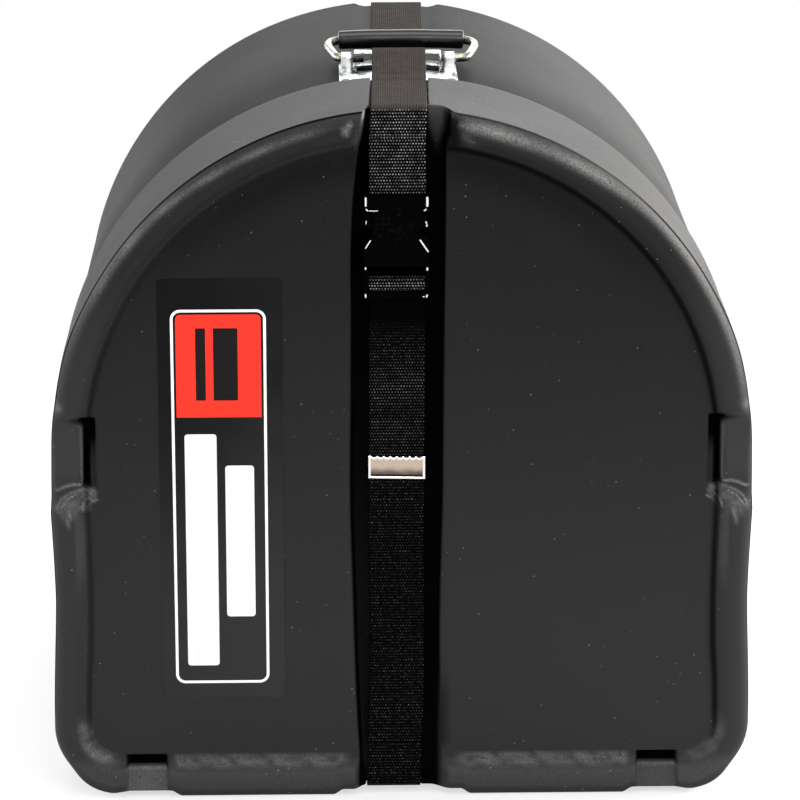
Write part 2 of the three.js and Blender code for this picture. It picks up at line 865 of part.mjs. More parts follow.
// The bail: one bent wire, laid out in its own plane as (x, reach from the pivot), which leans up a little
function bail() {
  const slope = Math.atan2(bailLift, bailReach);
  const at = (x, reach) =>
    new THREE.Vector3(x, pivotY + reach * Math.cos(slope), pivotZ + reach * Math.sin(slope));
  const arm = new THREE.Vector2(bailCorner - bailShoulder, bailReach).normalize();
  const path = new THREE.CurvePath();
  const half = (side) => {
    return {
      tip: at(side * wireTip, 0),
      bendStart: at(side * (bailShoulder - bailBend), 0),
      bendCorner: at(side * bailShoulder, 0),
      bendEnd: at(side * (bailShoulder + bailBend * arm.x), bailBend * arm.y),
      turnStart: at(side * (bailCorner - bailTurn * arm.x), bailReach - bailTurn * arm.y),
      turnCorner: at(side * bailCorner, bailReach),
      turnEnd: at(side * (bailCorner - bailTurn), bailReach),
    };
  };
  const left = half(-1);
  const right = half(1);
  path.add(new THREE.LineCurve3(left.tip, left.bendStart));
  path.add(new THREE.QuadraticBezierCurve3(left.bendStart, left.bendCorner, left.bendEnd));
  path.add(new THREE.LineCurve3(left.bendEnd, left.turnStart));
  path.add(new THREE.QuadraticBezierCurve3(left.turnStart, left.turnCorner, left.turnEnd));
  path.add(new THREE.LineCurve3(left.turnEnd, right.turnEnd));
  path.add(new THREE.QuadraticBezierCurve3(right.turnEnd, right.turnCorner, right.turnStart));
  path.add(new THREE.LineCurve3(right.turnStart, right.bendEnd));
  path.add(new THREE.QuadraticBezierCurve3(right.bendEnd, right.bendCorner, right.bendStart));
  path.add(new THREE.LineCurve3(right.bendStart, right.tip));
  const section = new THREE.Shape(arc(0, 0, wireRadius, 0, 330, 11).map(([p, q]) => new THREE.Vector2(p, q)));
  return solid(new THREE.ExtrudeGeometry(section, { steps: 84, extrudePath: path, bevelEnabled: false }));
}

function handleGrip() {
  const half = gripLength / 2;
  const bore = wireRadius + fit;
  const profile = [
    [bore, -half],
    ...arc(gripRadius - gripRound, -half + gripRound, gripRound, -90, 0, 3),
    ...arc(gripRadius - gripRound, half - gripRound, gripRound, 0, 90, 3),
    [bore, half],
    [bore, -half],
  ];
  const slope = Math.atan2(bailLift, bailReach);
  const geometry = new THREE.LatheGeometry(profile.map(([r, h]) => new THREE.Vector2(r, h)), 28);
  geometry.rotateZ(Math.PI / 2).translate(0, pivotY + bailReach * Math.cos(slope), pivotZ + bailReach * Math.sin(slope));
  return solid(geometry);
}

// A rivet's spread tail and domed head, as shares of their radius and height
const tailShares = [
  [0, 1],
  [0.8, 1],
  [1, 0.5],
  [1, 0],
];
const domeShares = [
  [1, 0],
  [1, 0.3],
  [0.8, 0.75],
  [0.4, 1],
  [0, 1],
];

// A rivet on the Y axis: its head rests above one level and its tail is spread below another
function rivet(seat, inside) {
  const head = seat + fit;
  const tailTop = inside - fit;
  const tailEnd = tailShares.map(([out, down]) => [out * rivetTail, tailTop - down * rivetTailHeight]);
  const dome = domeShares.map(([out, up]) => [out * rivetHead, head + up * rivetDome]);
  const profile = [...tailEnd, [rivetShank, tailTop], [rivetShank, head], ...dome];
  return new THREE.LatheGeometry(profile.map(([r, h]) => new THREE.Vector2(r, h)), 20);
}

// A washer on the Y axis, with its outer face at a level
function washer(level) {
  const bore = rivetShank + fit;
  const profile = [
    [bore, level - washerThickness],
    [washerRadius, level - washerThickness],
    [washerRadius, level],
    [bore, level],
    [bore, level - washerThickness],
  ];
  return new THREE.LatheGeometry(profile.map(([r, h]) => new THREE.Vector2(r, h)), 20);
}

place("base_shell", baseShell(), plastic);
place("lid_shell", lidShell(), plastic);
place("label_card", labelCard(), vinyl);

place("strap_front_loop", upperLoop(), webbing);
place("strap_crown_lid", crownLid(), webbing);
place("strap_crown_span", crownSpan(), webbing);
place("strap_crown_base", crownBase(), webbing);
place("strap_back", backRun(), webbing);
place("strap_floor_base", floorBase(), webbing);
place("strap_floor_span", floorSpan(), webbing);
place("strap_floor_lid", floorLid(), webbing);
place("strap_front_lower", frontLower(), webbing);
place("strap_tail", tail(), webbing);
place("strap_tip", strapTip(), nickel);

place("buckle_female", buckleFemale(), moulded);
place("buckle_male", buckleMale(), moulded);
place("buckle_prong_left", prong(-1), moulded);
place("buckle_prong_right", prong(1), moulded);

place("handle_plate", handlePlate(), zinc);
place("handle_bail", bail(), zinc);
place("handle_grip", handleGrip(), rubberGrip);
for (const [name, [x, y]] of Object.entries(handleRivets)) {
  const washerLevel = shellInside - fit;
  place(`handle_rivet_${name}`, onCrown(rivet(plateOver, washerLevel - washerThickness), x, y), zinc);
  place(`handle_washer_${name}`, onCrown(washer(washerLevel), x, y), zinc);
}

// The back strap is held by two rivets through the sunk channel's wall
for (const [name, z] of Object.entries(anchorRivets)) {
  const inside = backFloor - wall;
  const washerLevel = inside - fit;
  const seat = backY + strapThickness / 2;
  const rivetSolid = solid(rivet(seat, washerLevel - washerThickness).translate(strapShift, 0, z));
  place(`anchor_rivet_${name}`, rivetSolid, zinc);
  place(`anchor_washer_${name}`, solid(washer(washerLevel).translate(strapShift, 0, z)), zinc);
}

drumCase.position.y = -caseDepth / 2;

export default drumCase;
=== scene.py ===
"""A bass drum case: two telescoping moulded shells, a webbing strap with a side-release buckle and a folding handle.

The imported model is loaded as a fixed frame. Each operator below makes one piece, or one group of like pieces,
in the frame's own metres, and says which body it rides on. Lengths in the shape code are in millimetres,
measured from the lid's front rim and from the floor, as the moulds would be drawn.
"""

import math

import bmesh
import bpy
import numpy as np
from bpy.props import FloatProperty, FloatVectorProperty, PointerProperty
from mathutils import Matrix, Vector
from mathutils.geometry import delaunay_2d_cdt


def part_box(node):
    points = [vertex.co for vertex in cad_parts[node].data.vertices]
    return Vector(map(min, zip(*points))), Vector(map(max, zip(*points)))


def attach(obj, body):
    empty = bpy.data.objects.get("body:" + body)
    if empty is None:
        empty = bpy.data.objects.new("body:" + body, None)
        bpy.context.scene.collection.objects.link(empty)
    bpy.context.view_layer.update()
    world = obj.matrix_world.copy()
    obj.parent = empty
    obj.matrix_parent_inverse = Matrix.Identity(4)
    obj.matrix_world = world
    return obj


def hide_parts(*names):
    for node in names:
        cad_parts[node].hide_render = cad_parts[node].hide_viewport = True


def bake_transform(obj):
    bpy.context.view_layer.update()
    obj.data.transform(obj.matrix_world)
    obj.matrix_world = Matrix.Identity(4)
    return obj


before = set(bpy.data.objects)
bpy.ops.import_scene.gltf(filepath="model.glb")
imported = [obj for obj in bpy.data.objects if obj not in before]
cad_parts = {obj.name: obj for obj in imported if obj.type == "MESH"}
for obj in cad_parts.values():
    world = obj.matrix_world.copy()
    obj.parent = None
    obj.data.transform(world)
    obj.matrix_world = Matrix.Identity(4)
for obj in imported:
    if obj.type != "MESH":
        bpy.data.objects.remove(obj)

bl_info = {
    "name": "Drum case",
    "version": (1, 0, 0),
    "blender": (4, 5, 0),
    "location": "3D View > Sidebar > Drum case",
    "description": "Makes the shells, webbing, buckle, handle and label of a moulded bass drum case",
    "category": "Add Mesh",
}

MM = 0.001
MID_DEPTH = 250.0  # from the lid's front rim back to the frame's origin


def linear(red, green, blue):
    """A display colour, 0 to 255 a channel, as the linear triple that Blender stores."""
    return tuple(((c / 255 + 0.055) / 1.055) ** 2.4 if c > 10 else c / 255 / 12.92 for c in (red, green, blue))


def colour(label, about, default):
    return FloatVectorProperty(name=label, description=about, subtype="COLOR", size=3, min=0, max=1, default=default)


def length(label, about, default):
    return FloatProperty(name=label, description=about, unit="LENGTH", subtype="DISTANCE", min=0, default=default)


def power(label, about, default):
    return FloatProperty(name=label, description=about, unit="POWER", min=0, default=default)


def angle(label, about, default):
    return FloatProperty(name=label, description=about, subtype="ANGLE", default=default)


# ---------------------------------------------------------------- settings


class ShellSettings(bpy.types.PropertyGroup):
    """Sizes and colours of the two moulded shells."""

    # Painted light: the panels are dark at the top and paler at the foot, where the floor's light falls.
    panel: colour("Panel", "Moulded plastic at the top of the flat panels", linear(11, 11, 12))
    panel_low: colour("Low panel", "Moulded plastic at the foot of the flat panels", linear(34, 34, 35))
    # Painted light: the bead and skirts are painted lighter than the panels of the same plastic.
    bead: colour("Bead", "Moulded plastic of the rolled bead and the skirts", linear(40, 40, 41))
    # Dust and highlight: paler specks and scuffs, and the colour of the painted highlights on the bead, its lumps and
    # the pockets.
    dust_and_highlight: colour("Dust", "Paler specks and scuffs in the grain", linear(141, 140, 138))
    bead_width: length("Bead width", "From the rim to the flat panel", 0.0325)
    panel_sink: length("Panel sink", "How far the panel lies behind the bead", 0.008)
    channel_sink: length("Channel sink", "How far the strap channel lies behind the panel", 0.009)
    channel_bend: length("Channel bend", "Radius where the channel turns onto the crown", 0.018)
    grain: length("Grain", "Size of the moulded grain", 0.0009)


class WebbingSettings(bpy.types.PropertyGroup):
    """The strap's weave."""

    ground: colour("Ground", "Shadowed yarn between the ribs", (0.0008, 0.0008, 0.0008))
    yarn: colour("Yarn", "Dark yarn on top of a rib", linear(8, 8, 8))
    # Glint is painted highlight on the front's filament ends; the flat colours paint the strap much lighter where it
    # lies flat, as painted light.
    glint: colour("Glint", "Bright filament ends", linear(190, 188, 185))
    flat_low: colour("Flat shadow", "Yarn between the wales where the strap lies flat", linear(38, 35, 34))
    flat_high: colour("Flat light", "Yarn on the wales where the strap lies flat", linear(70, 66, 63))
    rib: length("Rib pitch", "Distance between two cross ribs", 0.0028)
    wale: length("Wale pitch", "Distance between two lengthwise wales", 0.0026)
    thickness: length("Thickness", "Thickness of the webbing", 0.0018)


class HardwareSettings(bpy.types.PropertyGroup):
    """Metal and moulded fittings."""

    zinc: colour("Zinc", "Bright zinc plate", linear(220, 224, 223))
    stain: colour("Stain", "Yellow passivation on rivets and edges", linear(205, 186, 140))
    # shaded wire zinc: the wire and rivets painted darker than the plate, painted shade
    shaded_wire_zinc: colour("Wire zinc", "Bent wire and rivets", linear(122, 123, 120))
    nickel: colour("Nickel", "The crimped strap tip, at its top", linear(196, 180, 162))
    nickel_low: colour("Low nickel", "The crimped strap tip, at its foot", linear(92, 80, 72))
    buckle: colour("Buckle", "Glossy moulded buckle", (0.0008, 0.0008, 0.0009))
    # corner glint: painted highlights on the buckle's corners
    corner_glint: colour("Polish", "Worn, polished corners of the buckle", linear(232, 232, 231))
    grip: colour("Grip", "Smooth moulded grip", linear(4, 4, 5))
    wire: length("Wire radius", "Radius of the handle's bent wire", 0.00406)
    grip_radius: length("Grip radius", "Radius of the handle's grip", 0.0087)
    grip_arch: length("Grip arch", "How far the grip's middle stands above its ends", 0.0012)


class LabelSettings(bpy.types.PropertyGroup):
    """The plain printed label."""

    film: colour("Film", "Black vinyl of the label", linear(12, 12, 12))
    red: colour("Red field", "Printed field at the top", linear(246, 55, 41))
    white: colour("White", "Keyline and write-on strips", linear(246, 246, 244))
    ink: colour("Ink", "Bars printed on the red field", linear(24, 22, 22))


class StageSettings(bpy.types.PropertyGroup):
    """Camera, floor and light."""

    lens: FloatProperty(name="Lens", description="Focal length", unit="CAMERA", min=1, default=181.7)
    distance: length("Distance", "From the camera to the case's middle", 3.8954)
    azimuth: angle("Azimuth", "Turn of the camera about the case", -0.022)
    elevation: angle("Elevation", "Lift of the camera", 0.311)
    target_height: length("Target height", "Height that the camera looks at", 0.310)
    floor: colour("Floor", "Pale floor", (0.93, 0.93, 0.93))
    sky: FloatProperty(name="Sky", description="Strength of the light from all round", min=0, default=0.265)
    top_light: power("Top light", "Power of the soft lamp above", 58)
    key_light: power("Key light", "Power of the soft lamp in front", 36)
    side_light: power("Side light", "Power of the strip lamps at the sides", 22)
    back_light: power("Back light", "Power of the soft lamp behind", 40)
    rim_light: power("Rim light", "Power that the lamps beside and behind the case are set from", 48)


# ---------------------------------------------------------------- shader maths


class Shade:
    """A shader value that can stand in sums: every operator adds its Math node."""

    def __init__(self, finish, socket):
        self.finish = finish
        self.socket = socket

    def math(self, operation, *values):
        return self.finish.add("ShaderNodeMath", {"operation": operation}, dict(enumerate(values)))

    def __add__(self, other):
        return self.math("ADD", self, other)

    def __sub__(self, other):
        return self.math("SUBTRACT", self, other)

    def __rsub__(self, other):
        return self.math("SUBTRACT", other, self)

    def __mul__(self, other):
        return self.math("MULTIPLY", self, other)

    def __truediv__(self, other):
        return self.math("DIVIDE", self, other)

    def __rtruediv__(self, other):
        return self.math("DIVIDE", other, self)

    def __pow__(self, other):
        return self.math("POWER", self, other)

    def __abs__(self):
        return self.math("ABSOLUTE", self)

    __radd__ = __add__
    __rmul__ = __mul__

    def wave(self):
        return self.math("SINE", self)

    def fraction(self):
        return self.math("FRACT", self)

    def floor(self):
        return self.math("FLOOR", self)

    def least(self, other):
        return self.math("MINIMUM", self, other)

    def most(self, other):
        return self.math("MAXIMUM", self, other)

    def ramp(self, low, high):
        """0 below low, 1 above high and smooth between; the other way round when low is above high."""
        settings = {"interpolation_type": "SMOOTHSTEP"}
        if low < high:
            return self.finish.add("ShaderNodeMapRange", settings, {0: self, 1: low, 2: high, 3: 0.0, 4: 1.0})
        return self.finish.add("ShaderNodeMapRange", settings, {0: self, 1: high, 2: low, 3: 1.0, 4: 0.0})


class Nodes:
    """A node tree, and the few ways that this file adds nodes to it."""

    def __init__(self, tree):
        self.tree = tree

    def put(self, socket, value):
        if isinstance(value, Shade):
            self.tree.links.new(value.socket, socket)
        elif socket.type == "RGBA":
            socket.default_value = (*value[:3], 1.0)
        else:
            socket.default_value = value

    def add(self, kind, settings=None, values=None, output=0):
        """Any node: its type, its settings, its sockets' values or links, and which output to hand back."""
        node = self.tree.nodes.new(kind)
        for key, value in (settings or {}).items():
            setattr(node, key, value)
        for key, value in (values or {}).items():
            self.put(node.inputs[key], value)
        return node if output is None else Shade(self, node.outputs[output])

    def seen(self):
        """1 for what the camera sees, directly, in a reflection or through glass."""
        labels = ("Is Camera Ray", "Is Glossy Ray", "Is Transmission Ray")
        camera, glossy, through = (self.add("ShaderNodeLightPath", output=label) for label in labels)
        return camera.most(glossy).most(through)


class Finish(Nodes):
    """One material: a Principled shader and the nodes that feed it."""

    def __init__(self, name, **plain):
        self.material = bpy.data.materials.new(name)
        self.material.use_nodes = True
        super().__init__(self.material.node_tree)
        self.tree.nodes.clear()
        self.shader = self.tree.nodes.new("ShaderNodeBsdfPrincipled")
        self.output = self.tree.nodes.new("ShaderNodeOutputMaterial")
        self.tree.links.new(self.shader.outputs[0], self.output.inputs["Surface"])
        for label, value in plain.items():
            self.put(self.shader.inputs[label.replace("_", " ")], value)

    def place(self):
        """Where on the object, in millimetres: the three coordinates, then all three as one vector."""
        spot = self.add("ShaderNodeTexCoord", output="Object")
        x, y, z = [self.part(spot, axis) * 1000.0 for axis in range(3)]
        return x, y, z, self.vector(x, y, z)

    def part(self, vector, axis):
        return self.add("ShaderNodeSeparateXYZ", values={0: vector}, output=axis)

    def vector(self, across, along, up=0.0):
        return self.add("ShaderNodeCombineXYZ", values={0: across, 1: along, 2: up})

    def read(self, name):
        """A value stored on the mesh's points."""
        return self.add("ShaderNodeAttribute", {"attribute_name": name}, output="Fac")

    def noise(self, where, scale, detail=2.0, rough=0.5):
        values = {"Vector": where, "Scale": scale, "Detail": detail, "Roughness": rough}
        return self.add("ShaderNodeTexNoise", {"noise_dimensions": "3D"}, values)

    def cells(self, where, scale):
        return self.add("ShaderNodeTexVoronoi", {"feature": "F1"}, {"Vector": where, "Scale": scale})

    def chance(self, where):
        return self.add("ShaderNodeTexWhiteNoise", {"noise_dimensions": "3D"}, {"Vector": where})

    def mix(self, factor, first, second):
        """Two colours by a factor."""
        return self.add("ShaderNodeMix", {"data_type": "RGBA"}, {0: factor, 6: first, 7: second}, output=2)

    def bump(self, height, distance, strength):
        values = {"Height": height, "Distance": distance, "Strength": strength}
        return self.add("ShaderNodeBump", values=values)

    def cover(self, factor, shader, **plain):
        """Lays another shader over this one, as far as a factor says."""
        over = self.tree.nodes.new(shader)
        for label, value in plain.items():
            self.put(over.inputs[label.replace("_", " ")], value)
        mixer = self.tree.nodes.new("ShaderNodeMixShader")
        self.put(mixer.inputs[0], factor)
        self.tree.links.new(self.shader.outputs[0], mixer.inputs[1])
        self.tree.links.new(over.outputs[0], mixer.inputs[2])
        self.tree.links.new(mixer.outputs[0], self.output.inputs["Surface"])

    def drive(self, **shades):
        for label, shade in shades.items():
            self.put(self.shader.inputs[label.replace("_", " ")], shade)
        return self.material


PITCH = (0.0006, 0.0006, 0.0006)  # where light doesn't reach
# painted shadow: near-black colour round the handle's pivots
PIVOT_SHADOW = linear(26, 29, 33)  # round the handle's pivots


def shell_finish(care):
    """Black moulded plastic with a fine grain, panels painted darker at the top, paler dust specks and scuffs with
    painted highlights, and painted shade in hollows that no light reaches.
    """
    finish = Finish("shell_plastic", Specular_IOR_Level=0.16)
    _, _, z, where = finish.place()
    bead = finish.read("bead")
    pale = finish.read("pale")
    hollow = finish.read("hollow")
    size = care.grain * 1000
    cloud = finish.noise(where, 0.012, 3.0, 0.6)
    grain = finish.noise(where, 0.5 / size, 2.0, 0.6)
    fine = finish.noise(where, 1.4 / size, 1.0)
    pits = finish.cells(where, 0.32)
    speck = finish.cells(where, 0.11).ramp(0.10, 0.035) * finish.noise(where, 0.05, 1.0).ramp(0.46, 0.62)
    chalk = finish.cells(where, 0.42).ramp(0.2, 0.08)
    lift = (cloud - 0.5) * 0.35 + (grain - 0.5) * 0.55
    # painted light: the panels dark at the top and paler at the foot, and the bead and skirts painted lighter than the
    # panels
    flat = finish.mix(z.ramp(600.0, 120.0), care.panel, care.panel_low)
    base = finish.mix((bead + lift).ramp(-0.15, 1.15), flat, care.bead)
    # pale dust specks and scuffs, together with the painted highlights that the pale value carries
    pale_and_glint = (pale * (grain + 0.25).ramp(0.3, 0.95) * 0.75 + (speck + chalk * pale * 0.8) * 0.6).least(0.95)
    shade = finish.mix(pale_and_glint, base, care.dust_and_highlight)
    rough = finish.noise(where, 0.45, 3.0, 0.6)
    height = grain * 0.5 + fine * 0.25 - pits.ramp(0.35, 0.05) * 0.18 + pale * rough * 0.7
    shut = hollow.least(1.0) * 0.985
    finish.cover(shut, "ShaderNodeBsdfPrincipled", Base_Color=PITCH, Roughness=1.0, Specular_IOR_Level=0.0)
    return finish.drive(
        Base_Color=shade,
        Roughness=0.55 + (grain - 0.5) * 0.22 + (cloud - 0.5) * 0.12 - speck * 0.2 - pale * 0.12,
        Normal=finish.bump(height, 0.00022, 0.75),
    )


THREAD_PITCH = 2.0  # of the fine wales where the strap lies flat, in millimetres


def webbing_finish(care):
    """Rows of short bright dashes, painted glints, on black where the strap stands; fine lengthwise wales, painted
    lighter as painted light, where it lies flat.
    """
    finish = Finish("webbing", Specular_IOR_Level=0.01)
    across = finish.read("across") * 1000.0
    along = finish.read("along") * 1000.0
    lying = finish.read("lying")
    bright = finish.read("bright")
    row = along / (care.rib * 1000)
    line = row.floor()
    column = across / (care.wale * 1000) + (line * 0.5).fraction() + finish.chance(finish.vector(line, 3.0)) * 0.25
    luck = finish.chance(finish.vector(column.floor(), line, 1.0))
    rib = 1.0 - abs(row.fraction() - 0.5) * 2.0
    wale = 1.0 - abs(column.fraction() - 0.5) * 2.0
    slow = finish.noise(finish.vector(across, along), 0.09, 2.0)
    tuft = rib.ramp(0.4, 0.9) * wale.ramp(0.3, 0.85)
    turn = finish.chance(finish.vector(line, 9.0)) * 0.5 + (1.0 - (line * 0.5).fraction() * 2.0) * 0.5
    share = tuft * (luck * 0.75 + 0.25) * (turn * 0.6 + 0.4) * (slow.ramp(0.3, 0.6) * 0.6 + 0.4)
    # where the strap is in shadow its dashes show only in clumps
    clump = finish.noise(finish.vector(across, along * 1.6), 0.3, 3.0, 0.7).ramp(0.42, 0.62)
    share = share * (bright.ramp(0.3, 0.12) * (clump * 2.2 - 1.0) + 1.0)
    raised = (rib * 0.6 + wale * 0.4).ramp(0.1, 0.9)
    # the ribs' yarn is painted lighter only where the strap is painted bright
    yarn = finish.mix(raised * bright.ramp(0.0, 0.12), care.ground, care.yarn)
    front = finish.mix((share * bright).least(1.0), yarn, care.glint)
    thread = (across * (2.0 * math.pi / THREAD_PITCH)).wave() * 0.5 + 0.5
    fuzz = finish.noise(finish.vector(across * 1.6, along * 0.35), 0.9, 2.0)
    wales = (thread * 0.3 + fuzz * 0.55 + slow * 0.35 - 0.12).ramp(0.1, 0.9)
    flat = finish.mix(wales, care.flat_low, care.flat_high)
    height = rib.ramp(0.0, 0.9) * 0.55 + wale.ramp(0.0, 0.8) * rib * 0.45 + slow * 0.2
    return finish.drive(
        Base_Color=finish.mix(lying, front, flat),
        Roughness=0.85 - share * 0.25,
        Normal=finish.bump(height * (1.0 - lying * 0.8) + thread * lying * 0.15, 0.0004, 0.8),
    )


def pivot_shadow(x, y, reach, front, back, fade):
    """1 on the metal round the handle's pivots, where shadow is painted nearly black."""
    depth = y + MID_DEPTH
    return abs(x).ramp(reach, reach - 3.0) * depth.ramp(front, front + 4.0) * depth.ramp(back, back - fade)


def zinc_finish(care):
    """Bright plate with cool and yellow clouds, and painted shadow round the handle's pivots."""
    finish = Finish("zinc_plate", Metallic=1.0)
    x, y, z, where = finish.place()
    mottle = finish.noise(where, 0.16, 3.0, 0.65)
    stain = finish.noise(finish.vector(x, y + 40.0, z), 0.22, 2.0)
    brushed = finish.noise(finish.vector(x * 0.25, y * 3.0, z * 3.0), 1.2, 2.0)
    cool = finish.noise(finish.vector(x, y, z + 70.0), 0.13, 3.0, 0.6)
    shade = finish.mix((stain - 0.56).ramp(0.0, 0.12) * 0.7, care.zinc, care.stain)
    shade = finish.mix((cool - 0.54).ramp(0.0, 0.1) * 0.8, shade, linear(118, 134, 146))
    painted_shadow = pivot_shadow(x, y, 45.6, 174.0, 206.0, 3.0)
    shade = finish.mix(painted_shadow * (mottle - 0.34).ramp(0.0, 0.12) * 0.93, shade, PIVOT_SHADOW)
    return finish.drive(
        Base_Color=finish.mix((mottle - 0.55).ramp(0.0, 0.3) * 0.35, shade, linear(190, 195, 196)),
        Roughness=0.24 + (mottle - 0.4) * 0.3 + (brushed - 0.5) * 0.12,
        Normal=finish.bump(mottle * 0.6 + brushed * 0.3, 0.00025, 0.5),
    )


def wire_finish(care):
    """Drawn wire of the bail and its rivets, painted darker than the plate as painted shade, with yellow passivation in
    places and painted shadow round the pivots.
    """
    finish = Finish("zinc_wire", Metallic=1.0)
    x, y, z, where = finish.place()
    mottle = finish.noise(where, 0.3, 3.0, 0.65)
    drawn = finish.noise(finish.vector(x, y * 4.0, z * 4.0), 0.9, 2.0)
    shade = finish.mix((mottle - 0.5).ramp(0.0, 0.2) * 0.7, care.shaded_wire_zinc, care.stain)
    painted_shadow = pivot_shadow(x, y, 47.0, 190.0, 207.0, 2.0)
    shade = finish.mix(painted_shadow * (mottle - 0.3).ramp(0.0, 0.12) * 0.93, shade, PIVOT_SHADOW)
    return finish.drive(
        Base_Color=shade,
        Roughness=0.26 + (drawn - 0.5) * 0.2,
        Normal=finish.bump(mottle * 0.4 + drawn * 0.4, 0.0003, 0.5),
    )


def nickel_finish(care):
    """Crimped sheet: a bright rolled rim and teeth round a tan, brushed face, and a painted shadow line above the
    bottom rim.
    """
    finish = Finish("tip_nickel", Metallic=1.0)
    x, y, z, where = finish.place()
    rim = finish.read("rim")
    fade = finish.read("fade")
    groove = finish.read("groove")
    brushed = finish.noise(finish.vector(x * 0.1, y, z * 2.4), 1.0, 3.0)
    cloud = finish.noise(where, 0.12, 2.0)
    tan = (fade + (cloud - 0.5) * 0.5 + (brushed - 0.5) * 0.35).ramp(0.0, 1.0)
    face = finish.mix(tan, care.nickel_low, care.nickel)
    face = finish.mix(groove * 0.9, face, linear(26, 16, 12))
    return finish.drive(
        Base_Color=finish.mix(rim, face, linear(250, 249, 247)),
        Roughness=0.34 + (brushed - 0.5) * 0.25 - rim * 0.12,
        Normal=finish.bump(brushed + cloud * 0.6, 0.0002, 0.4),
    )


# Painted glints on the buckle's front corners, as lines of pale colour: two ends across and up, and a width
BUCKLE_GLINTS = [
    (-32.7, 565.6, -32.7, 572.6, 1.2),
    (-32.3, 562.4, -31.0, 560.9, 0.8),
    (-29.5, 560.8, -22.2, 560.8, 0.6),
    (22.0, 565.4, 22.0, 572.6, 1.5),
    (19.4, 561.0, 20.8, 562.0, 0.9),
    (-32.2, 550.4, -32.8, 547.6, 0.7),
    (-32.9, 542.6, -32.9, 541.2, 1.1),
    (21.0, 549.6, 21.4, 548.2, 0.9),
    (21.8, 546.4, 22.5, 541.8, 1.3),
    (-32.9, 526.6, -28.6, 533.4, 0.8),
    (15.8, 533.6, 22.7, 523.2, 1.0),
    (-33.0, 507.8, -33.0, 506.8, 1.1),
    (22.2, 507.2, 22.2, 505.8, 1.3),
    (-33.0, 483.0, -32.8, 480.6, 1.0),
    (18.6, 480.8, 19.4, 480.8, 0.8),
    (22.0, 482.2, 21.6, 480.6, 1.0),
]


def buckle_finish(care):
    """Gloss black, with a dusty smear on the body and painted glints on its corners."""
    finish = Finish("buckle_plastic", Specular_IOR_Level=0.008)
    x, y, z, where = finish.place()
    fine = finish.noise(where, 0.9, 2.0)
    scuff = finish.noise(where, 0.2, 3.0, 0.7)

    def streak(x0, z0, x1, z1, width):
        """1 on a painted glint line of the front, fading to its sides and rounded at its ends."""
        run = math.hypot(x1 - x0, z1 - z0)
        ux, uz = (x1 - x0) / run, (z1 - z0) / run
        part = ((x - x0) * ux + (z - z0) * uz).most(0.0).least(run)
        off_x, off_z = x - x0 - part * ux, z - z0 - part * uz
        return (off_x * off_x + off_z * off_z).ramp(width * width * 0.75, 0.0)

    pale_and_glint = streak(*BUCKLE_GLINTS[0])
    for line in BUCKLE_GLINTS[1:]:
        pale_and_glint = pale_and_glint.most(streak(*line))
    pale_and_glint = pale_and_glint * (y + MID_DEPTH).ramp(9.0, 8.0) * (fine * 0.5 + 0.75).least(1.0)
    smear = (x + 8.0) * (x + 8.0) / 250.0 + (z - 546.0) * (z - 546.0) / 260.0
    base = finish.mix(scuff.ramp(0.48, 0.75) * smear.ramp(1.8, 0.2) * 0.5, care.buckle, linear(24, 24, 25))
    return finish.drive(
        Base_Color=finish.mix(pale_and_glint.least(1.0), base, care.corner_glint),
        Roughness=0.22 + scuff * 0.16,
        Normal=finish.bump(fine * 0.4 + scuff, 0.00012, 0.4),
    )


def grip_finish(care):
    """Smooth black moulding with slow wrinkles."""
    finish = Finish("grip_vinyl", Specular_IOR_Level=0.36)
    x, y, z, where = finish.place()
    wrinkle = finish.noise(finish.vector(x * 0.3, y, z), 0.35, 3.0, 0.6)
    fine = finish.noise(where, 1.3, 2.0)
    return finish.drive(
        Base_Color=finish.mix(fine.ramp(0.4, 0.8) * 0.4, care.grip, linear(10, 10, 10)),
        Roughness=0.24 + wrinkle * 0.1,
        Normal=finish.bump(wrinkle + fine * 0.3, 0.00012, 0.4),
    )


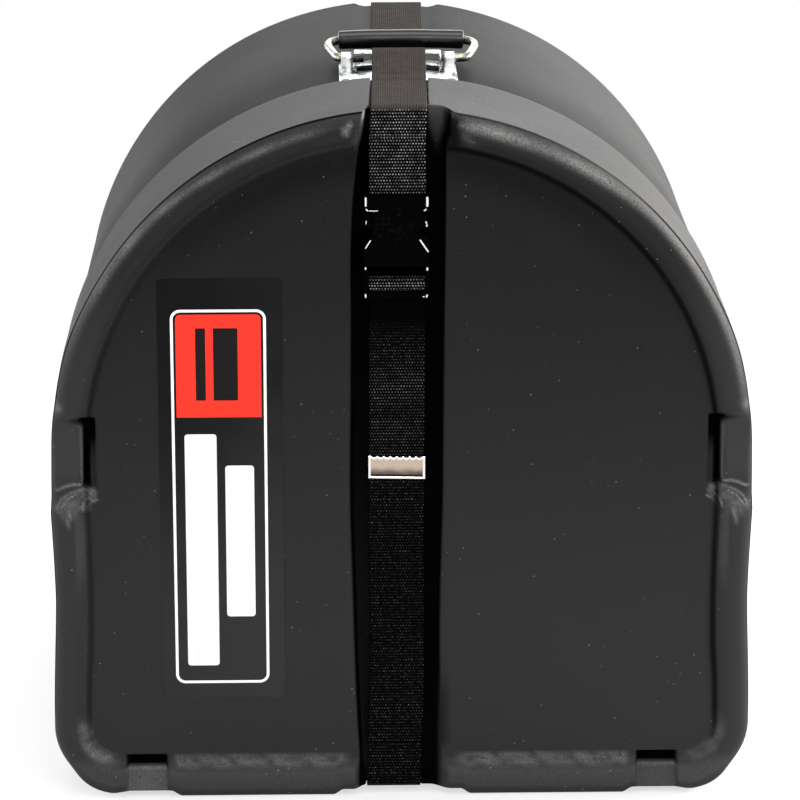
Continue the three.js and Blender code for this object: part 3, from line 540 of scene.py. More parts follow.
def label_finish(care):
    """Black film with a white keyline, a red field with plain bars, and two blank write-on strips."""
    finish = Finish("label_print", Specular_IOR_Level=0.08)
    x, _, z, where = finish.place()

    def panel(left, right, low, high, radius):
        """Distance inside a rounded rectangle, in millimetres, negative outside."""
        out_x = (abs(x - (left + right) / 2) - ((right - left) / 2 - radius)).most(0.0)
        out_z = (abs(z - (low + high) / 2) - ((high - low) / 2 - radius)).most(0.0)
        return radius - (out_x * out_x + out_z * out_z) ** 0.5

    def inside(distance):
        return distance.ramp(-0.12, 0.12)

    border = panel(-208.3, -122.4, 110.5, 469.5, 9.0)
    keyline = inside(border) * (1.0 - inside(border - 2.5))
    field = inside(border - 4.6) * inside(z - 368.0)
    wide_strip, narrow_strip = panel(-197.0, -168.0, 128.0, 352.0, 3.0), panel(-160.5, -134.5, 176.0, 322.0, 3.0)
    strips = inside(wide_strip).most(inside(narrow_strip))
    rules = abs(((x + 197.0) / 9.6).fraction() - 0.5).ramp(0.46, 0.485) * 0.35
    thin_bar, thick_bar = panel(-186.0, -177.0, 384.0, 452.0, 1.0), panel(-170.0, -148.0, 384.0, 452.0, 1.0)
    bars = inside(thin_bar).most(inside(thick_bar))
    fine = finish.noise(where, 0.8, 2.0)
    wave = finish.noise(where, 0.03, 2.0)
    # painted sheen: the film is painted paler towards the bottom and the right
    sheen = (z.ramp(492.0, 100.0) * 0.9 + (x + 213.0).ramp(0.0, 102.0) * 0.25 + (wave - 0.5) * 0.3).ramp(0.0, 1.15)
    shade = finish.mix(sheen, care.film, linear(45, 45, 46))
    shade = finish.mix(field, shade, care.red)
    shade = finish.mix(field * bars, shade, care.ink)
    shade = finish.mix(keyline, shade, care.white)
    shade = finish.mix(strips * (1.0 - rules), shade, care.white)
    return finish.drive(
        Base_Color=shade,
        Roughness=0.5 + (fine - 0.5) * 0.15,
        Normal=finish.bump(wave * 3.0 + fine * 0.12, 0.0003, 0.5),
    )


# Each finish: its maker, and the settings that it reads
FINISHES = {
    "shell_plastic": (shell_finish, "drum_case_shell"),
    "webbing": (webbing_finish, "drum_case_webbing"),
    "zinc_plate": (zinc_finish, "drum_case_hardware"),
    "zinc_wire": (wire_finish, "drum_case_hardware"),
    "tip_nickel": (nickel_finish, "drum_case_hardware"),
    "buckle_plastic": (buckle_finish, "drum_case_hardware"),
    "grip_vinyl": (grip_finish, "drum_case_hardware"),
    "label_print": (label_finish, "drum_case_label"),
}
made_finishes = {}


def shared_finish(name, context):
    """A finish by its name; the pieces that share one get the same material."""
    if name not in made_finishes:
        maker, settings = FINISHES[name]
        made_finishes[name] = maker(getattr(context.scene, settings))
    return made_finishes[name]


# ---------------------------------------------------------------- mesh helpers


def smooth(value, low, high):
    """0 at low, 1 at high, smooth between, for arrays too."""
    t = np.clip((np.asarray(value, float) - low) / (high - low), 0, 1)
    return t * t * (3 - 2 * t)


def band(value, low, full, fade, high):
    """1 between full and fade, 0 below low and above high."""
    return smooth(value, low, full) * smooth(value, high, fade)


def peak(value, middle, width):
    """1 at the middle, fading out beyond a width."""
    return np.exp(-(((value - middle) / width) ** 2))


def blendin(first, second, share):
    """From the first, at a share of 0, to the second, at 1."""
    return first + (second - first) * share


def near_line(x, z, points, width):
    """1 on the line through some points, fading out beyond a width, for arrays."""
    best = np.full(np.shape(x), 1e9)
    for (x0, z0), (x1, z1) in zip(points[:-1], points[1:]):
        dx, dz = x1 - x0, z1 - z0
        part = np.clip(((x - x0) * dx + (z - z0) * dz) / (dx * dx + dz * dz), 0, 1)
        best = np.minimum(best, np.hypot(x - x0 - part * dx, z - z0 - part * dz))
    return peak(best, 0.0, width)


def table(points):
    """A smooth curve through (input, output) pairs."""
    xs, ys = np.array(points, float).T
    slopes = np.gradient(ys, xs)

    def curve(value):
        value = np.clip(value, xs[0], xs[-1])
        k = np.clip(np.searchsorted(xs, value, "right") - 1, 0, len(xs) - 2)
        step = xs[k + 1] - xs[k]
        t = (value - xs[k]) / step
        return (
            ys[k] * (1 + 2 * t) * (1 - t) ** 2
            + slopes[k] * step * t * (1 - t) ** 2
            + ys[k + 1] * t * t * (3 - 2 * t)
            - slopes[k + 1] * step * t * t * (1 - t)
        )

    return curve


def mesh_object(name, points, faces, finish, flat_angle=None, shades=None):
    """A new object from points in millimetres, measured from the lid's rim and the floor."""
    mesh = bpy.data.meshes.new(name)
    placed = (np.asarray(points, float) - (0, MID_DEPTH, 0)) * MM
    mesh.from_pydata(placed.tolist(), [], faces)
    for label, values in (shades or {}).items():
        layer = mesh.attributes.new(label, "FLOAT", "POINT")
        layer.data.foreach_set("value", np.asarray(values, np.float32))
    tidy = bmesh.new()
    tidy.from_mesh(mesh)
    bmesh.ops.recalc_face_normals(tidy, faces=tidy.faces)
    tidy.to_mesh(mesh)
    tidy.free()
    mesh.materials.append(finish)
    mesh.polygons.foreach_set("use_smooth", [True] * len(mesh.polygons))
    if flat_angle is not None:
        mesh.set_sharp_from_angle(angle=math.radians(flat_angle))
    made = bpy.data.objects.new(name, mesh)
    bpy.context.scene.collection.objects.link(made)
    return made


def settle(piece, body, node):
    """The piece moves with a body and stands for a CAD node, which is hidden."""
    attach(piece, body)
    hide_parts(node)


def grid_faces(rows, columns, closed=False):
    """Quads over rows of points; a closed grid joins each row's end to its start."""
    faces = []
    for i in range(rows - 1):
        row, below = i * columns, (i + 1) * columns
        for j in range(columns if closed else columns - 1):
            k = (j + 1) % columns
            faces.append((row + j, row + k, below + k, below + j))
    return faces


def ring_faces(upper, lower):
    """Quads between two closed loops of points."""
    return list(zip(upper, upper[1:] + upper[:1], lower[1:] + lower[:1], lower))


# Metres, and degrees between faces
WELD_REACH = 0.00001
BUCKLE_EDGE, PLATE_EDGE = 0.0007, 0.0004
SHARP_BEVEL, SHARP_PLAIN = 32, 40


def dress(node, finish, bevel=None):
    """A CAD node keeps its shape and gets a material, smooth shading and rounded edges."""
    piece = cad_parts[node]
    piece.data.materials.clear()
    piece.data.materials.append(finish)
    piece.data.polygons.foreach_set("use_smooth", [True] * len(piece.data.polygons))
    if bevel:
        weld = piece.modifiers.new("weld", "WELD")
        weld.merge_threshold = WELD_REACH
        rounding = piece.modifiers.new("rounded_edges", "BEVEL")
        rounding.width = bevel
        rounding.segments = 3
        rounding.limit_method = "ANGLE"
        rounding.angle_limit = math.radians(SHARP_BEVEL)
        rounding.harden_normals = True
    else:
        piece.data.set_sharp_from_angle(angle=math.radians(SHARP_PLAIN))


# ---------------------------------------------------------------- shells

CROWN_RADIUS = 316.0  # of the round top, which is half the case's width
CROWN_HEIGHT = 336.0  # where the round top's centre lies
CORNER = 63.0
GROUND = 5.0  # the outline's lower edge; the feet hang below it
CORNER_X, CORNER_Z = CROWN_RADIUS - CORNER, GROUND + CORNER
CROWN_TOP = CROWN_HEIGHT + CROWN_RADIUS
WALL = 4.5
LID_DEPTH = 140.0
CASE_DEPTH = 500.0
BASE_MOUTH = 22.8  # how far behind the lid's rim the base ends
RIM = 11.2  # the depth that the skirt's rows are counted from
BASE_INSET = 6.5
DRAFT = 0.5  # how far the base is drawn in towards its back
SIDE_DRAFT = 3.4
DRAFT_START = 11.0  # depth from the back where the draft is full
BASE_STEP = BASE_INSET - DRAFT  # from the lid's outline in to the base's at its back
EDGE_SOFT = 3.6  # how softly the channel's edges fall, on the flat panel
CHANNEL_FLOOR = 17.0  # from the rim back to the channel's floor
CHANNEL_CROWN = 4.5  # how deep the channel lies under the crown and over the feet
LID_CHANNEL = (-40.8, 38.6)
BASE_CHANNEL = (-38.5, 38.5)

# Share of the bead's width, and how much of the panel's sink is reached there
BEAD_CURVE = table(
    [(0, 1.4), (0.03, 1.0), (0.08, 0.66), (0.14, 0.42), (0.22, 0.2), (0.32, 0.05), (0.42, 0.0), (0.52, 0.03)]
    + [(0.62, 0.17), (0.72, 0.48), (0.84, 0.82), (0.92, 0.96), (1.0, 1.0), (1.2, 1.0)]
)
# Height, and where the lid's channel has its edges
CHANNEL_LEFT = table(
    [(40, -38.9), (64, -40.1), (121, -42.3), (197, -44.3), (293, -46.6), (388, -45.7), (464, -45.3), (521, -45.3)]
    + [(569, -43.2), (593, -41.0), (622, -37.0), (636, -33.9), (650, -32.2), (660, -32.2)]
)
CHANNEL_RIGHT = table(
    [(40, 31.4), (64, 31.6), (121, 32.9), (197, 33.8), (293, 35.9), (388, 36.3), (464, 36.9), (521, 37.5)]
    + [(640, 38.2)]
)
# Depth, and how far strap and channel have drifted to the right over the crown
DRIFT = table([(0, 0.0), (6, 0.1), (12, 1.0), (60, 2.8), (140, 5.0), (300, 7.2), (480, 9.4), (500, 9.6)])
# Height, and how far the sides stand out beyond the plain outline
BULGE = table(
    [(-20, 5.6), (45, 5.5), (69, 5.2), (93, 4.8), (118, 4.0), (143, 3.0), (168, 1.9), (192, 1.3), (215, 1.6)]
    + [(235, 2.2), (262, 3.2), (277, 3.7), (290, 2.8), (310, 2.4), (340, 1.7), (366, 1.3), (378, 0.9), (400, 1.2)]
    + [(425, 1.7), (450, 1.5), (480, 0.8), (520, 0.0)]
)


def half_outline():
    """The right half of the case's outline, from the bottom's middle to the crown's top: places and normals."""
    runs = [(0, 18, 4.5), (18, 46, 1.0), (46, 52, 3), (52, 66, 1.6), (66, 198, 7), (198, CORNER_X, 1.6)]
    places = [((x, GROUND), (0, -1)) for x in np.concatenate([np.arange(*run) for run in runs])]
    for a in np.radians(np.linspace(-90, 0, 25)):
        out = (math.cos(a), math.sin(a))
        places.append(((CORNER_X + CORNER * out[0], CORNER_Z + CORNER * out[1]), out))
    heights = np.concatenate([np.arange(74, 296, 7), np.arange(296, 380, 1.6)])
    places += [((CROWN_RADIUS, z), (1, 0)) for z in heights[heights < CROWN_HEIGHT]]
    angles = [math.asin((z - CROWN_HEIGHT) / CROWN_RADIUS) for z in heights[heights >= CROWN_HEIGHT]]
    angles += list(np.radians(np.arange(9.2, 80.4, 1.15)))
    top = np.concatenate([np.arange(52, 46, -3), np.arange(46, 18, -1.0), np.arange(18, 0, -4.5)])
    angles += [math.acos(x / CROWN_RADIUS) for x in top]
    for a in angles:
        out = (math.cos(a), math.sin(a))
        places.append(((CROWN_RADIUS * out[0], CROWN_HEIGHT + CROWN_RADIUS * out[1]), out))
    return places


def full_outline():
    """The whole outline as two arrays: places and normals."""
    right = half_outline()
    top = [((0.0, CROWN_TOP), (0.0, 1.0))]
    left = [((-x, z), (-u, v)) for (x, z), (u, v) in right[:0:-1]]
    places = right + top + left
    return np.array([p for p, _ in places], float), np.array([n for _, n in places], float)


def depth_inside(x, z, inset):
    """Distance inside the outline that is drawn in by an inset."""
    qx, qz = np.abs(x) - CORNER_X, CORNER_Z - z
    low = CORNER - (np.hypot(np.maximum(qx, 0), np.maximum(qz, 0)) + np.minimum(np.maximum(qx, qz), 0))
    high = CROWN_RADIUS - np.hypot(x, z - CROWN_HEIGHT)
    return np.where(z >= CROWN_HEIGHT, high, low) - inset


def toward_outline(spot):
    """For points inside the outline, the direction to its nearest place."""
    x, z = spot.T
    high = z >= CROWN_HEIGHT
    radius = np.maximum(np.hypot(x, z - CROWN_HEIGHT), 1)
    qx, qz = np.abs(x) - CORNER_X, CORNER_Z - z
    corner = (qx > 0) & (qz > 0)
    reach = np.maximum(np.hypot(qx, qz), 1e-6)
    sideways = qx > qz
    low_x = np.where(corner, np.sign(x) * qx / reach, np.where(sideways, np.sign(x), 0))
    low_z = np.where(corner, -qz / reach, np.where(sideways, 0, -1))
    return np.stack([np.where(high, x / radius, low_x), np.where(high, (z - CROWN_HEIGHT) / radius, low_z)], 1)


def slow_waves(x, y, z, seed):
    """Slow unevenness of a large moulding, in the range of about -1 to 1."""
    wave = np.sin(x / 61.0 + seed) * np.sin(z / 73.0 + 2 * seed) + 0.6 * np.sin((x + z) / 41.0 + seed * 1.7)
    return (wave + 0.7 * np.sin(y / 37.0 + x / 90.0 + seed)) / 2.3


STRAP_WIDTH = 49.8
STRAP_MIDDLE = -5.0


def foot_sway(z):
    """Near the floor the strap and its channel lie a little further to the left."""
    return -3.0 * smooth(z, 120, 0)


# Raised lines of the mouldings, each with its width, its height and how pale it is painted, a painted highlight along
# the ridge
POCKET_LUMPS = [
    ([(311.0, 279.0), (309.5, 285.5), (303.0, 293.5), (296.0, 296.5)], 0.7, 0.6, 0.95),
    ([(297.5, 272.5), (303.5, 270.5), (309.0, 272.0)], 0.8, 0.5, 0.8),
    ([(293.0, 300.0), (286.5, 300.5), (281.5, 296.5)], 0.8, 0.6, 0.9),
    ([(312.7, 301.3), (305.0, 304.8), (298.3, 306.4), (291.5, 305.6)], 1.2, 1.4, 0.75),
    ([(314.0, 283.2), (309.0, 292.7), (302.0, 297.8), (291.0, 301.6), (281.0, 299.6)], 1.2, 0.9, 0.55),
    ([(291.1, 283.2), (287.5, 289.8), (283.9, 292.7)], 1.1, 1.2, 0.85),
    ([(283.9, 291.0), (280.3, 288.3), (277.1, 290.4)], 0.9, 0.9, 0.8),
    ([(307.3, 274.6), (301.0, 277.2), (295.6, 281.3)], 1.0, 0.8, 0.7),
    ([(289.9, 361.0), (289.9, 309.0)], 1.3, 0.0, 0.5),
]
CROWN_LUMPS = [
    ([(-34.0, 650.5), (-35.0, 645.5)], 1.3, 0.9, 1.0),
    ([(-46.5, 640.5), (-49.0, 637.5), (-49.8, 632.0)], 2.2, 1.4, 0.75),
    ([(-42.0, 622.0), (-39.0, 634.0), (-36.5, 642.0)], 3.0, 1.2, 0.1),
    ([(50.5, 640.0), (53.5, 637.6)], 1.5, 1.0, 0.85),
    ([(52.0, 636.0), (56.0, 627.0), (62.0, 622.0)], 3.0, 1.0, 0.2),
]
SIDE_SLOT = (302.0, 368.4)  # its foot and its top
LOBE_MIDDLE = (294.5, 288.5)  # of the lumpy swelling below a side pocket, across and up
LOBE_TURN = (0.82, 0.57)
LOBE_SIZE = (20.0, 10.5)


class Mould:
    """The shape of one shell: an end face with its bead, panel, channel and pockets, and the skirt behind it."""

    def __init__(self, care, lid):
        self.lid = lid
        self.sink = care.panel_sink * 1000
        self.width = care.bead_width * 1000
        self.floor = self.sink + care.channel_sink * 1000
        self.bend = care.channel_bend * 1000
        self.skirt_soft = 8.0 if lid else 24.0
        self.inset = 0.0 if lid else BASE_INSET
        self.reach = LID_DEPTH if lid else CASE_DEPTH - BASE_MOUTH

    def drawn_in(self, base, normal, inward, grow):
        """Outline points, moved in from the outline: across and up."""
        return (base - normal * (self.inset + grow + inward)[:, None]).T

    def swell(self, x, z):
        """How far the sides stand out beyond the plain outline."""
        upper = smooth(z, 80, 150)
        return BULGE(z) * smooth(np.abs(x), blendin(232, 262, upper), blendin(275, 300, upper))

    def channel_sides(self, x, z, grow, width):
        """How much of a point belongs to the wide channel of the face, whose edges fall over a width."""
        if self.lid:
            left, right = CHANNEL_LEFT(z) - grow, CHANNEL_RIGHT(z) + grow
            width = width * (1 + 0.7 * smooth(z, 520, 400))
            wide = width + (width - EDGE_SOFT) * 1.6 * smooth(z, 560, 620) + 7 * smooth(z, 160, 50)
            return smooth((x - left) / width + 0.5, 0, 1) * smooth((right + (wide - width) / 2 - x) / wide + 0.5, 0, 1)
        shift = DRIFT(CASE_DEPTH) * smooth(z, 420, 600) * 0.5
        left, right = BASE_CHANNEL[0] - grow, BASE_CHANNEL[1] + grow
        return smooth((x - shift - left) / width + 0.5, 0, 1) * smooth((right + shift - x) / width + 0.5, 0, 1)

    def channel_run(self, z):
        """The channel's depth and its turn: it runs out towards the floor, and behind towards the crown too."""
        near = smooth(z, 95, 20)
        if self.lid:
            return blendin(self.floor, 8.5, near), blendin(self.bend, 6.0, near)
        near = np.maximum(near, smooth(z, 560, 636))
        return blendin(self.floor, 3.5, near), blendin(self.bend, 7.0, near)

    def channel_crown(self, x, z, grow, depth=0.0):
        """How deep the channel lies under the skirt: full depth under the strap, next to nothing beside it."""
        behind_rim = depth if self.lid else CASE_DEPTH - depth
        middle = STRAP_MIDDLE + np.where(z > 300, DRIFT(behind_rim), foot_sway(z))
        off = np.abs(x - middle)
        if self.lid:
            close = 0.7 * smooth(z, 300, 100)
            return blendin(0.4, CHANNEL_CROWN, smooth(off, 26.9 - close + grow, 25.7 - close + grow))
        return blendin(0.2, 4.3, smooth(off, 50 + grow, 32 + grow))

    def face(self, base, normal, inward, grow):
        """Points of the end face, drawn in from the outline: across, depth, up, how pale and how hollow."""
        x, z = self.drawn_in(base, normal, inward, grow)
        bead = self.sink * BEAD_CURVE(inward / self.width)
        panel = smooth(bead / self.sink * np.where(inward > self.width * 0.3, 1, 0), 0, 1)
        mask = self.channel_sides(x, z, grow, blendin(8.0, EDGE_SOFT, panel))
        # the lower front edge is the tightest
        bead = bead * (1 - 0.68 * smooth(z, 30, 9) * smooth(inward, 14, 8))
        # in the channel the face turns onto the skirt in a quarter circle
        floor, bend = self.channel_run(z)
        start = CHANNEL_CROWN + bend
        turn = np.clip(1 - inward / start, 0, 1) * math.pi / 2
        top = self.channel_crown(x, z, grow)
        drawn = np.where(inward < start, top + (start - top) * (1 - np.sin(turn)), inward)
        depth = blendin(bead, floor + bend * (1 - np.cos(turn)), mask)
        x, z = self.drawn_in(base, normal, blendin(inward, drawn, mask), grow)
        pale = np.zeros(len(x))
        hollow = self.channel_hollow(x, z, inward, mask)
        if self.lid:
            free = 1 - smooth(mask, 0.0, 0.1)
            hollow = np.maximum(hollow, self.dark_lines(x, z, inward) * free)
            depth, pale, shut = self.pockets(x, z, depth, inward, grow)
            hollow = np.maximum(hollow, shut)
            for points, width, lift, tone in CROWN_LUMPS:
                near = near_line(x, z, points, width)
                depth = depth - near * lift
                pale = np.maximum(pale, near * tone)
            # painted highlights along the bead
            pale = np.maximum(pale, self.bead_highlights(x, z, inward) * free)
        depth = depth + 0.35 * slow_waves(x, 0 * x, z, 3) * smooth(inward, 8, 60)
        return x, depth + grow, z, pale, hollow

    def channel_hollow(self, x, z, inward, mask):
        """How far the channel, and on the lid the edge of its sides, is shut off from light."""
        hollow = smooth(mask, 0.06, 0.5) * (1.0 if self.lid else 0.5)
        hollow = hollow * (1 - 0.13 * smooth(z, 460, 120) * smooth(mask, 0.9, 1.0) * smooth(x, -26, -31))
        if not self.lid:
            return hollow
        # light reaches the right side near the floor, and the floor where it turns onto the crown
        hollow = hollow * (1 - 0.7 * smooth(z, 170, 70) * smooth(x, 31, 38.5))
        room = 8.5 * np.clip((z - 611) / 36, 0, 1)
        hollow = hollow * (1 - 0.93 * smooth(np.abs(x - 30.5), room + 4, room - 4) * smooth(z, 606, 630))
        shoulder = 0.75 * band(x, 36, 39, 47, 55) * smooth(z, 606, 618) * smooth(inward, 1, 6)
        sides = 0.95 * smooth(np.abs(x), 290, 306) * band(z, 60, 90, 440, 480) * smooth(inward, 1.7, 0.6)
        return np.maximum(np.maximum(hollow, shoulder), sides)

    def dark_lines(self, x, z, inward):
        """Painted shade: a dark line where the bead meets the skirt, another along its inner foot, and a shadow under
        the crown.
        """
        right = smooth(x, 0, 20)
        edge = 0.9 * smooth(inward, 1.7, 0.6) * smooth(z, 300, 430) * (1 - 0.4 * smooth(x, 0, 60) * smooth(z, 540, 600))
        tone = blendin(blendin(0.68, 0.42, smooth(z, 380, 460)), 0.95, right)
        foot = tone * peak(inward, 31.5, 1.8 + 1.1 * right) * smooth(z, 36, 66)
        crown = 0.42 * band(inward, 34, 37, 37, 78) * smooth(z, 430, 600)
        return np.maximum(np.maximum(edge, foot), crown)

    def bead_highlights(self, x, z, inward):
        """How pale the bead is painted: a painted highlight along its crest at the top and on a fine ring inside, and
        paler at the bottom.
        """
        right = smooth(x, 0, 20)
        crest = blendin(4.4, 8.5, smooth(z, 550, 620))
        ridge = peak(inward, crest, 3.0 + 1.9 * right * smooth(z, 540, 600)) * smooth(z, 350, 480)
        left_tone = 0.56 * smooth(x, -45, -120) * blendin(0.25, 1.0, smooth(z, 440, 540))
        right_tone = (0.8 + 0.2 * smooth(z, 560, 620)) * smooth(x, 50, 60)
        ridge = ridge * blendin(left_tone, right_tone, right) * (0.8 + 0.2 * np.sin(x / 9.0 + z / 13.0))
        return ridge + 0.03 * peak(inward, 28, 1.2) + 0.12 * smooth(z, 42, 30) * band(inward, 4, 9, 20, 24)

    def pockets(self, x, z, depth, inward, grow):
        """The tie-down pockets: depth, how pale the plastic is painted, with painted highlights on its ridges and tab,
        and how far light is shut out, as painted shade.
        """
        side = np.abs(x) + self.swell(x, z)
        ragged = 1.2 * np.sin(z / 3.1 + x / 5.0) + 0.8 * np.sin(z / 1.7 - x / 2.9)
        depth, pale, shut = self.side_pocket(side, z, depth, ragged, grow)
        depth, tab, slot = self.foot_pocket(side, z, depth, grow)
        right = smooth(x, -10, 10)
        shut = np.maximum(shut, slot)
        # painted light on the tab: paler on the left, with a painted highlight along its top edge
        pale = np.maximum(pale, tab * blendin(0.36, 0.16, right) + 0.3 * tab * peak(z, 25.0, 1.6))
        # the bottom bead's upper slope is coarse, and so is the bead's inner slope at the corners
        bottom = band(inward, 22, 27, 32, 35) * smooth(z, 46, 36) * band(side, 46, 60, 206, 214)
        corner = band(inward, 19, 25, 31, 36) * smooth(side, 256, 274) * band(z, 28, 38, 60, 82)
        slopes = bottom * (0.34 + 0.14 * ragged) + corner * (0.4 + 0.1 * ragged) * blendin(1.0, 0.5, right)
        pale = np.maximum(pale, slopes)
        shut = np.maximum(shut, bottom * smooth(ragged, 0.6, 1.8) * 0.5)
        return depth + bottom * ragged * 0.45, np.clip(pale, 0, 1), np.clip(shut, 0, 1)

    def side_pocket(self, side, z, depth, ragged, grow):
        """The bead steps back beside a deep slot, and rises again in a lumpy lobe below."""
        low, high = SIDE_SLOT[0] - grow, SIDE_SLOT[1] + grow
        recess = smooth(side, 284 - grow, 290 - grow) * band(z, 282, 307, high - 6, high + 3)
        depth = blendin(depth, np.maximum(depth, blendin(3.5, 6.5, smooth(z, 318, 366))), recess)
        outer = 289.2 + 2.4 * smooth(z, 358, 366)
        slot = band(side, 276.4 - grow, 278.4 - grow, outer - 0.9 + grow, outer + 0.9 + grow)
        slot = slot * band(z, low - 1.2, low + 1.4, high - 1.4, high + 1.2)
        rounding = np.hypot(np.maximum(281.5 - side, 0), np.maximum(z - high + 4.5, 0))
        slot = slot * smooth(rounding, 4.9 + grow, 3.7 + grow)
        inner = smooth(side, 285.5, 282) * smooth(z, 356, 338)
        depth = blendin(depth, np.maximum(depth, blendin(19.0, 11.0, inner)), slot)
        # painted shadow under the bead's end above the slot; the slot itself is painted dark as shade
        brow = 0.97 * band(side, 277, 280, 288, 307) * peak(z, high - 2.6, 3.4)
        shut = np.maximum(slot * (1 - 0.8 * inner * smooth(z, 356, 322)), brow)
        beside = 1 - slot
        pale = np.zeros(len(z))
        for points, width, lift, tone in POCKET_LUMPS:
            near = near_line(side, z, points, width) * beside
            depth = depth - near * lift
            pale = np.maximum(pale, near * tone)
        (u, v), (c, s) = (side - LOBE_MIDDLE[0], z - LOBE_MIDDLE[1]), LOBE_TURN
        off = ((u * c - v * s) / LOBE_SIZE[0]) ** 2 + ((u * s + v * c) / LOBE_SIZE[1]) ** 2
        lobe = smooth(off, 1.15, 0.8) * beside
        depth = depth - lobe * (0.5 + 0.35 * ragged)
        # painted paler: the lobe, the block beside the slot and a band below it; a painted highlight on the bead above
        # the pocket
        for tone in (
            lobe * (0.27 + 0.09 * ragged),
            0.05 * recess * smooth(z, 300, 320) * beside,
            0.45 * peak(side, 310.5, 4) * peak(z, 379, 4.5),
            0.12 * band(side, 286, 289, 296, 299) * band(z, 190, 240, 274, 280),
        ):
            pale = np.maximum(pale, tone)
        return depth, pale, shut

    def foot_pocket(self, side, z, depth, grow):
        """A slot over the foot, above a slanting tab: depth, where the tab is and where the slot is."""
        across = band(side, 217 - grow, 219 - grow, 253.6 + grow, 256 + grow)
        tab = across * smooth(z, 29, 26)
        slant = blendin(4.0, 13.0, np.clip((z - GROUND) / 24, 0, 1))
        depth = blendin(depth, np.maximum(depth, slant), tab)
        slot = across * band(z, 26.4 - grow, 28.0 - grow, 37.2 + grow, 39.4 + grow)
        return blendin(depth, np.maximum(depth, 18.0), slot), tab, slot

    def finish_points(self, x, depth, z, grow):
        """The feet hang below the outline, the sides swell a little, and depth becomes a place in the case."""
        out = np.abs(x)
        foot = band(out, 54 + grow, 64 + grow, 204 - grow, 215 - grow)
        if self.lid:
            drop = GROUND * foot + 3.2 * band(out, 250, 266, 290, 312)
            z = z - drop * smooth(z, 42, 10)
            x = x + np.sign(x) * self.swell(x, z) * smooth(depth, 120, 30)
            return np.stack([x, depth, z], 1)
        under = GROUND + BASE_STEP + DRAFT * smooth(depth, 270, DRAFT_START)
        foot = foot * band(depth, 17, 26, 348 - grow, 356 - grow)
        z = z - under * foot * smooth(z, 44, 16)
        x = x - np.sign(x) * SIDE_DRAFT * smooth(out, 120, 300) * smooth(depth, 300, DRAFT_START)
        return np.stack([x, CASE_DEPTH - depth, z], 1)

    def skirt_dark(self, x, z, normal, depth, wall, mask, share):
        """How dark the skirt is painted, as painted shade: in the channel, beside the rim, over the lid's crown to the
        left, and on the base towards its mouth and over its crown to the left.
        """
        dark = smooth((wall - 0.5) / 4.0 * mask, 0.3, 0.9) * 0.6 * smooth(share, 0.0, 0.05)
        if self.lid:
            crown = (0.2 + 0.3 * smooth(x, -150, -270)) * smooth(x, 40, -60) * smooth(z, 400, 480)
            rim = 0.95 * smooth(np.abs(normal[:, 0]), 0.6, 0.9) * band(z, 60, 90, 440, 480) * smooth(depth, 16, 13)
            edge = 0.8 * smooth(depth, 12.6, 11.5) * smooth(z, 300, 430)
            return np.maximum(np.maximum(dark, crown), np.maximum(rim, edge))
        near = blendin(0.06, 0.36, smooth(CASE_DEPTH - depth, 330, 150))
        shade = blendin(0.1, 0.46, smooth(x, 190, 20)) * smooth(z, 330, 480)
        return np.maximum(dark * 0.4, 1 - (1 - near) * (1 - shade))

    def skirt(self, base, normal, start, rows, grow):
        """Rows of the skirt, from the face's edge at depth start to the mouth. Each row is (share, extra inset)."""
        made, shut = [], []
        x0, z0 = self.drawn_in(base, normal, np.zeros(len(base)), grow)
        mask = self.channel_sides(x0, z0, grow, self.skirt_soft)
        mouth = self.reach - (0.0 if self.lid else 16.0) * mask
        for share, extra in rows:
            depth = blendin(start, mouth, share)
            wall = self.channel_crown(x0, z0, grow, depth)
            shut.append(self.skirt_dark(x0, z0, normal, depth, wall, mask, share))
            draft = 0.0 if self.lid else -DRAFT * smooth(depth, DRAFT_START, 270)
            wave = 0.5 * slow_waves(base[:, 0], depth * 1.3, base[:, 1], 5) * band(share, 0.03, 0.2, 0.85, 1)
            x, z = self.drawn_in(base, normal, wall * mask + extra + draft + wave, grow)
            made.append(self.finish_points(x, depth, z, grow))
        return made, shut


FINE_RINGS = (0, 0.25, 0.7, 1.5, 2.6, 4.2, 6.2, 8.6, 11.2, 13.8, 16, 18, 20, 22, 24, 26, 28, 30, 32.5, 36)
COARSE_RINGS = (0, 0.7, 2.6, 6.2, 11.2, 16, 20, 24, 28, 32.5)
# The lid's pockets get a finer grid: from and to, across and up
POCKET_GRIDS = ((272, 312, 286, 378), (213, 259, 8.5, 44))


